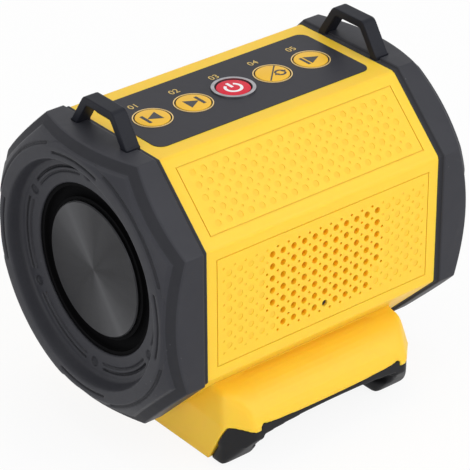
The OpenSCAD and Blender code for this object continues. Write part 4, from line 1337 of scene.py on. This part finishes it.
@dataclass
class Radiator:
    """A passive radiator: a turned disc on a rolled rubber surround.

    Attributes:
        side: The end it is on.
        inner_r: The roll's inner foot.
        outer_r: The roll's outer foot.
        wall: The rubber's thickness.
        lip_r: How far in the lip under the disc reaches.
        flange_r: How far out the clamped flange reaches.
        lip_u: The lip's back face, out from the middle of the speaker.
        flange_u: The flange's back face.
        steps: Faces along a quarter of the roll.
        turns: Faces round the roll.
    """

    side: Side
    inner_r: float = 26.7 * MM
    outer_r: float = 33.0 * MM
    wall: float = 1.0 * MM
    lip_r: float = 23.7 * MM
    flange_r: float = 39.0 * MM
    lip_u: float = 63.4 * MM
    flange_u: float = 64.0 * MM
    steps: int = 12
    turns: int = 96

    def arc(self, radius: float, start: float, stop: float) -> Section:
        """Points of an arc about the middle of the roll's section, between angles in degrees."""
        middle = ((self.inner_r + self.outer_r) / 2, self.lip_u)
        return arc_points(middle, radius, start, stop, self.steps)

    def build(self) -> None:
        """Makes the roll in two halves and the disc, and dresses the weight and what holds them."""
        word = self.side.word
        big = (self.outer_r - self.inner_r) / 2
        small = big - self.wall
        lip_top = self.lip_u + self.wall
        flange_top = self.flange_u + self.wall
        inner = (
            [(self.lip_r, self.lip_u), (self.lip_r, lip_top)]
            + [(self.inner_r + self.wall, lip_top)]
            + self.arc(small, -180, -90)
            + self.arc(big, -90, -180)
        )
        outer = (
            self.arc(big, -90, 0)
            + [(self.outer_r, self.flange_u), (self.flange_r, self.flange_u)]
            + [(self.flange_r, flange_top), (self.outer_r - self.wall, flange_top)]
            + self.arc(small, 0, -90)
        )
        node = f"{word}_radiator_surround"
        axis = Axis((0, 0, AXIS_Z), (self.side.value, 0, 0))
        moving = axis.turned(f"{word}_roll_inner", inner, self.turns)
        moving.data.materials.append(Looks.ROLL.material())
        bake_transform(moving)
        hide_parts(node)
        log.info("%s: bends between the housing and the disc", moving.name)
        fixed = axis.turned(f"{word}_roll_outer", outer, self.turns)
        finish_piece(fixed, HOUSING, Looks.ROLL, [node])
        disc = Bench.from_node(f"{word}_radiator_disc", f"{word}_disc")
        Bench.smooth(disc)
        finish_piece(disc, f"{word}_radiator", Looks.DISC, [f"{word}_radiator_disc"])
        dress_nodes(
            {
                f"{word}_radiator_weight": Looks.STEEL,
                f"{word}_end_frame": Looks.FRAME,
                f"{word}_end_gasket": Looks.FOAM,
                f"{word}_frame_screws": Looks.STEEL,
            }
        )


class Mark(Enum):
    """The signs on the keys."""

    PREVIOUS = "previous"
    NEXT = "next"
    POWER = "power"
    MODE = "mode"
    PLAY = "play"


@dataclass
class KeyPanel:
    """The dark panel on top, with five keys, their signs and their numbers.

    Attributes:
        pitch: From key to key.
        top: The top of a key's cap.
        panel_top: The top of the panel.
        print_t: How thick a printed sign stands.
        sunk: How far it reaches into what it is printed on.
        number_y: How far behind the keys their numbers stand.
        number_size: The size of the numbers.
        rim: The rounding of a key's rim.
        bow_steps: How many parts a printed arc has.
    """

    pitch: float = 18.7 * MM
    top: float = 122.95 * MM
    panel_top: float = 122.7 * MM
    print_t: float = 0.05 * MM
    sunk: float = 0.03 * MM
    number_y: float = 11.5 * MM
    number_size: float = 4.3 * MM
    rim: float = 0.2 * MM
    bow_steps: int = 28

    def polygon(self, name: str, corners: Section, centre: Vector) -> bpy.types.Object:
        """A thin flat sign with straight sides.

        Args:
            name: The piece's name.
            corners: Its corners about the centre, in millimetres.
            centre: Where it stands.

        Returns:
            The piece.
        """
        places = [centre + Vector((x * MM, y * MM, -self.sunk)) for x, y in corners]
        piece = Bench.outline(name, places)
        self.thicken(piece)
        return piece

    def thicken(self, piece: bpy.types.Object) -> None:
        """Raises a flat sign to its thickness, with its faces outwards.

        Args:
            piece: The sign.
        """
        with Bench.editing(piece):
            bpy.ops.mesh.extrude_region_move(
                TRANSFORM_OT_translate={"value": (0, 0, self.print_t + self.sunk)}
            )
            bpy.ops.mesh.select_all(action="SELECT")
            bpy.ops.mesh.normals_make_consistent(inside=False)

    def bow(
        self, name: str, radius: float, stroke: float, start: float, stop: float, centre: Vector
    ) -> bpy.types.Object:
        """A thin flat arc.

        Args:
            name: The piece's name.
            radius: Its middle radius, in millimetres.
            stroke: Its width, in millimetres.
            start: Its first angle, in degrees.
            stop: Its last angle.
            centre: Where it stands.

        Returns:
            The piece.
        """
        inner, outer = (
            arc_points((0, 0), edge, start, stop, self.bow_steps)
            for edge in (radius - stroke / 2, radius + stroke / 2)
        )
        return self.polygon(name, outer + inner[::-1], centre)

    def sign(self, mark: Mark, centre: Vector) -> list[bpy.types.Object]:
        """The sign of one key.

        Args:
            mark: Which sign.
            centre: The middle of the key's top.

        Returns:
            Its pieces.
        """
        name = f"sign_{mark.value}"
        if mark is Mark.POWER:
            bow = self.bow(name + "_bow", 3.1, 1.15, start=125, stop=415, centre=centre)
            bar = self.upright(x=0, half=0.6, low=0.5, high=4.2)
            return [bow, self.polygon(name + "_bar", bar, centre)]
        if mark is Mark.MODE:
            return self.mode_sign(name, centre)
        way = -1 if mark is Mark.PREVIOUS else 1
        bar = self.upright(x=way * 3, half=0.65, low=-3.1, high=3.1)
        arrow = [(way * 2.3, 0), (way * -2.9, 3.1), (way * -2.9, -3.1)]
        if mark is Mark.PLAY:
            bar = self.upright(x=-2.9, half=0.6, low=-3, high=3)
            arrow = [(-1.6, -3), (3.8, 0), (-1.6, 3)]
        shapes = {"_bar": bar, "_arrow": arrow}
        return [self.polygon(name + word, shape, centre) for word, shape in shapes.items()]

    @staticmethod
    def upright(x: float, half: float, low: float, high: float) -> Section:
        """The corners of an upright bar about x, by its half width and its ends, in millimetres."""
        return [(x - half, low), (x + half, low), (x + half, high), (x - half, high)]

    def mode_sign(self, name: str, centre: Vector) -> list[bpy.types.Object]:
        """The mode key's sign: a slash, and two arrows that chase each other.

        Args:
            name: The start of the pieces' names.
            centre: The middle of the key's top.

        Returns:
            Its pieces.
        """
        slash = [(-4.3, -4.7), (4.7, 4.3), (4.3, 4.7), (-4.7, -4.3)]
        at = centre + Vector((2.6, -1.4, 0)) * MM
        pieces = [self.polygon(name + "_slash", slash, centre)]
        for number, way in enumerate((1, -1)):
            turn = 90 - 90 * way
            bow = f"{name}_bow_{number}"
            pieces.append(self.bow(bow, 1.9, 0.85, start=turn + 20, stop=turn + 155, centre=at))
            head = [(way * 0.8, way * 0.7), (way * 3.0, way * 0.7), (way * 1.9, way * -0.8)]
            pieces.append(self.polygon(f"{name}_head_{number}", head, at))
        return pieces

    @staticmethod
    def join(pieces: Sequence[bpy.types.Object], name: str) -> bpy.types.Object:
        """Makes one piece of several.

        Args:
            pieces: What is joined.
            name: The name of the result.

        Returns:
            The joined piece.
        """
        Bench.hold(pieces[0])
        for piece in pieces[1:]:
            piece.select_set(True)
        bpy.ops.object.join()
        return Bench.named(name)

    def number(self, index: int, x: float) -> bpy.types.Object:
        """The number behind a key.

        Args:
            index: The key's place in the row, from 0.
            x: The key's place along the panel.

        Returns:
            The piece.
        """
        bpy.ops.object.select_all(action="DESELECT")
        bpy.ops.object.text_add(location=(x, self.number_y, self.panel_top - self.sunk))
        words = bpy.context.view_layer.objects.active
        words.data.body = f"{index + 1:02d}"
        words.data.size = self.number_size
        words.data.align_x = "CENTER"
        words.data.align_y = "CENTER"
        words.data.extrude = 0.0
        bpy.ops.object.convert(target="MESH")
        piece = Bench.named(f"number_{index + 1}")
        Bench.settle(piece)
        self.thicken(piece)
        return piece

    def build(self) -> None:
        """Makes the keys, their signs and numbers, and dresses the panel and what is under it."""
        for index, mark in enumerate(Mark):
            x = (index - len(Mark) // 2) * self.pitch
            body = f"{mark.value}_button"
            key = Bench.from_node(f"{mark.value}_key", f"{mark.value}_cap")
            with Bench.editing(key, Pick.EDGES):
                bpy.ops.mesh.dissolve_limited(angle_limit=FLAT)
                Bench.choose(key, Pick.EDGES, lambda a, b: min(a.z, b.z) > self.top - CLOSE)
                bpy.ops.mesh.bevel(offset=self.rim, segments=3, affect="EDGES")
            Bench.smooth(key, degrees=50)
            power = mark is Mark.POWER
            finish_piece(key, body, Looks.RED if power else Looks.GOLD, [f"{mark.value}_key"])
            sign = self.join(self.sign(mark, Vector((x, 0, self.top))), f"sign_{mark.value}")
            finish_piece(sign, body, Looks.INK_WHITE if power else Looks.INK_DARK)
            finish_piece(self.number(index, x), HOUSING, Looks.INK_GOLD)
        dress_nodes(
            {
                "control_panel": Looks.PANEL,
                "power_ring": Looks.SILVER,
                "key_trim_rings": Looks.TRIM,
                "key_board": Looks.BOARD,
                "key_switches": Looks.SWITCH,
                "key_board_screws": Looks.STEEL,
                "lug_screws": Looks.STEEL,
            }
        )


@dataclass
class Driver:
    """The driver behind the sound holes, with a rolled surround and a waved spider.

    Attributes:
        axis: Its axis, counted inwards from the inside of the shell's front.
        sectors: How many equal parts each soft ring is made of.
        turns: Faces round a sector.
        roll_r: The roll's inner and outer feet.
        roll_t: The thickness of the roll's cloth.
        roll_d: The back face of the roll's flange.
        roll_steps: Faces along the roll.
        lip_r: How far in the roll's lip reaches.
        flange_r: How far out its flange reaches.
        spider_r: The spider's inner and outer edges.
        spider_d: The depth of the spider's middle.
        spider_t: The thickness of the spider's cloth.
        spider_steps: Faces along the spider.
        spider_edge: The share of its width that is flat at each edge.
        waves: How many waves it has.
        wave: The height of a wave.
        roll_bend: The radii between which the real surround bends. Not used.
        spider_bend: The radii between which the real spider bends. Not used.
    """

    axis: Axis = Axis((0, -49.1 * MM, 75.5 * MM), (0, 1, 0))
    sectors: int = 8
    turns: int = 12
    roll_r: tuple[float, float] = (11.55 * MM, 14.85 * MM)
    roll_t: float = 0.5 * MM
    roll_d: float = 1.5 * MM
    roll_steps: int = 16
    lip_r: float = 10.8 * MM
    flange_r: float = 15.2 * MM
    spider_r: tuple[float, float] = (5.3 * MM, 11.38 * MM)
    spider_d: float = 9.75 * MM
    spider_t: float = 0.2 * MM
    spider_steps: int = 32
    spider_edge: float = 0.1
    waves: int = 3
    wave: float = 0.15 * MM
    roll_bend: tuple[float, float] = (11.7 * MM, 13.7 * MM)
    spider_bend: tuple[float, float] = (5.9 * MM, 9.7 * MM)

    def roll_section(self) -> Section:
        """The section of the surround: a flange, a half roll and a lip.

        Returns:
            The section's outline.
        """
        middle = (sum(self.roll_r) / 2, self.roll_d - self.roll_t)
        big = (self.roll_r[1] - self.roll_r[0]) / 2
        small = big - self.roll_t
        front, back = middle[1], self.roll_d
        return (
            [(self.flange_r, back), (self.flange_r, front)]
            + arc_points(middle, big, 0, -180, self.roll_steps)
            + [(self.lip_r, front), (self.lip_r, back), (middle[0] - small, back)]
            + arc_points(middle, small, -180, 0, self.roll_steps)
            + [(middle[0] + small, back)]
        )

    def spider_section(self) -> Section:
        """The section of the spider: waves between flat edges.

        Returns:
            The section's outline.
        """
        first, last = self.spider_r
        waved = 1 - 2 * self.spider_edge
        front: Section = []
        for step in range(self.spider_steps + 1):
            share = step / self.spider_steps
            along = (share - self.spider_edge) / waved
            height = self.wave * math.sin(self.waves * FULL_TURN * along) if 0 < along < 1 else 0.0
            depth = self.spider_d + height - self.spider_t / 2
            front.append((first + (last - first) * share, depth))
        return front + [(radius, depth + self.spider_t) for radius, depth in reversed(front)]

    def soft_ring(
        self, node: str, section: Section, finish: Finish
    ) -> None:
        """A soft ring from the basket to the diaphragm, made of equal sectors.

        Args:
            node: The CAD node that it stands for.
            section: Its section.
            finish: Its finish.
        """
        angle = FULL_TURN / self.sectors
        centre = Vector(self.axis.centre)
        first = self.axis.turned(f"{node}_0", section, self.turns, angle)
        first.data.materials.append(finish.material())
        pieces = [first]
        for number in range(1, self.sectors):
            copy = put_in_scene(f"{node}_{number}", first.data.copy())
            with Bench.editing(copy):
                bpy.ops.transform.rotate(
                    value=number * angle, orient_axis="Y", center_override=centre
                )
            pieces.append(copy)
        for piece in pieces:
            places = [vertex.co - centre for vertex in piece.data.vertices]
            way = sum(places, Vector()) * Vector((1, 0, 1))
            way.normalize()
            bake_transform(piece)
            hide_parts(node)
        log.info("%s: %d sectors bend between the housing and the diaphragm", node, self.sectors)

    def build(self) -> None:
        """Makes the soft rings and dresses the rest."""
        roll, spider = self.roll_section(), self.spider_section()
        self.soft_ring("driver_surround", roll, Looks.ROLL)
        self.soft_ring("driver_spider", spider, Looks.SPIDER)
        dress_nodes(
            {
                "driver_gasket": Looks.FOAM,
                "driver_basket": Looks.FRAME,
                "driver_top_plate": Looks.STEEL,
                "driver_magnet": Looks.FERRITE,
                "driver_yoke": Looks.STEEL,
                "driver_screws": Looks.STEEL,
                "driver_cone": Looks.PAPER,
                "dust_cap": Looks.PAPER,
                "voice_coil": Looks.COPPER,
            }
        )


@dataclass
class Insides:
    """What else lies inside the shell: the boards and the wires."""

    def build(self) -> None:
        """Dresses the inner nodes."""
        dress_nodes(
            {
                "main_board": Looks.BOARD,
                "radio_module": Looks.STEEL,
                "filter_capacitors": Looks.SLEEVE,
                "power_inductor": Looks.FERRITE,
                "board_screws": Looks.STEEL,
                "microphone": Looks.BRASS,
                "mic_boot": Looks.FOAM,
                "battery_leads": Looks.WIRE,
                "driver_leads": Looks.WIRE,
                "key_ribbon": Looks.WIRE,
            }
        )


@dataclass(frozen=True)
class Lamp:
    """A soft square lamp that faces the speaker.

    Attributes:
        name: Its name.
        stand: Where it stands.
        size: The length of its side.
        power: Its power, in watts.
    """

    name: str
    stand: Place
    size: float
    power: float

    def build(self) -> None:
        """Sets up the lamp."""
        data = bpy.data.lights.new(self.name, "AREA")
        data.size = self.size
        data.energy = self.power
        lamp = put_in_scene(self.name, data)
        lamp.location = self.stand
        lamp.rotation_euler = (AXIS - Vector(self.stand)).to_track_quat("-Z", "Y").to_euler()


@dataclass
class Studio:
    """A white floor, soft lamps and the camera.

    Attributes:
        stand: Where the camera stands.
        aim: What it looks at.
        roll: Its turn about its own axis.
        lens: Its focal length, in millimetres.
        sensor: The width of its sensor, in millimetres.
        ambient: The light from all round.
        floor_size: The length of the floor's side.
        floor_gap: How far under the speaker the floor lies.
        floor_grey: How pale the floor is.
        floor_white: How far it is seen as plain white.
        lamps: The lamps.
    """

    stand: Place = (-0.5182, -0.6401, 0.5352)
    aim: Place = (0.00037, 0.0, 0.06031)
    roll: float = -0.0051
    lens: float = 191.8
    sensor: float = 36.0
    ambient: float = 0.6
    floor_size: float = 6.0
    floor_gap: float = 0.2 * MM
    floor_grey: float = 0.92
    floor_white: float = 0.9
    lamps: tuple[Lamp, ...] = (
        Lamp("key_lamp", (0.4, -0.9, 0.75), 0.8, 5.6),
        Lamp("top_lamp", (0.0, 0.3, 1.2), 0.9, 3.2),
        Lamp("left_lamp", (-0.95, -0.35, 0.3), 0.5, 2.2),
        Lamp("low_lamp", (0.1, -1.0, 0.15), 0.6, 1.4),
    )

    def set_camera(self) -> None:
        """The camera, at the photograph's angle."""
        data = bpy.data.cameras.new("camera")
        data.lens = self.lens
        data.sensor_width = self.sensor
        camera = put_in_scene("camera", data)
        camera.rotation_mode = "QUATERNION"
        camera.location = self.stand
        way = Vector(self.aim) - Vector(self.stand)
        camera.rotation_quaternion = way.to_track_quat("-Z", "Y") @ Quaternion((0, 0, 1), self.roll)
        bpy.context.scene.camera = camera

    @staticmethod
    def seen(graph: Graph) -> Value:
        """What the camera sees, also in a mirror or through glass.

        Args:
            graph: The nodes of the floor's material or the world.

        Returns:
            One for what is seen, and zero for what only gives light.
        """
        path = graph.node("LightPath", {}, {}, "Is Camera Ray")
        outs = path.socket.node.outputs
        glossy = Value(graph, outs["Is Glossy Ray"])
        through = Value(graph, outs["Is Transmission Ray"])
        return path.at_least(glossy).at_least(through)

    def set_floor(self) -> None:
        """A white floor that keeps the speaker's shadow."""
        bpy.ops.object.select_all(action="DESELECT")
        bpy.ops.mesh.primitive_plane_add(size=self.floor_size, location=(0, 0, -self.floor_gap))
        floor = Bench.named("floor")
        Bench.settle(floor)
        graph = Graph(bpy.data.materials.new("studio_floor"))
        grey = self.floor_grey
        matt = graph.node("BsdfDiffuse", {}, {"Color": (grey, grey, grey, 1)})
        white = graph.node("Emission", {}, {"Color": (1, 1, 1, 1), "Strength": 1.0})
        share = self.seen(graph) * self.floor_white
        graph.close(graph.node("MixShader", {}, {0: share, 1: matt, 2: white}))
        floor.data.materials.append(graph.owner)

    def set_world(self) -> None:
        """A white surround that lights the speaker evenly."""
        graph = Graph(bpy.data.worlds.new("studio"))
        strength = self.ambient + self.seen(graph) * (1 - self.ambient)
        graph.close(graph.node("Background", {}, {"Color": (1, 1, 1, 1), "Strength": strength}))
        bpy.context.scene.world = graph.owner

    def build(self) -> None:
        """Sets up the studio."""
        bpy.context.scene.view_settings.view_transform = "Standard"
        self.set_camera()
        self.set_floor()
        self.set_world()
        for lamp in self.lamps:
            lamp.build()


def main() -> None:
    """Builds the speaker's sub-assemblies in order, then the studio."""
    logging.basicConfig(level=logging.INFO, format="%(name)s: %(message)s")
    Studio().build()
    parts = [Shell(), Pedestal(), KeyPanel(), Driver(), Insides()]
    parts += [kind(side) for side in Side for kind in (EndCap, Radiator)]
    for part in parts:
        log.info("building %s", type(part).__name__)
        part.build()


if __name__ == "__main__":
    main()
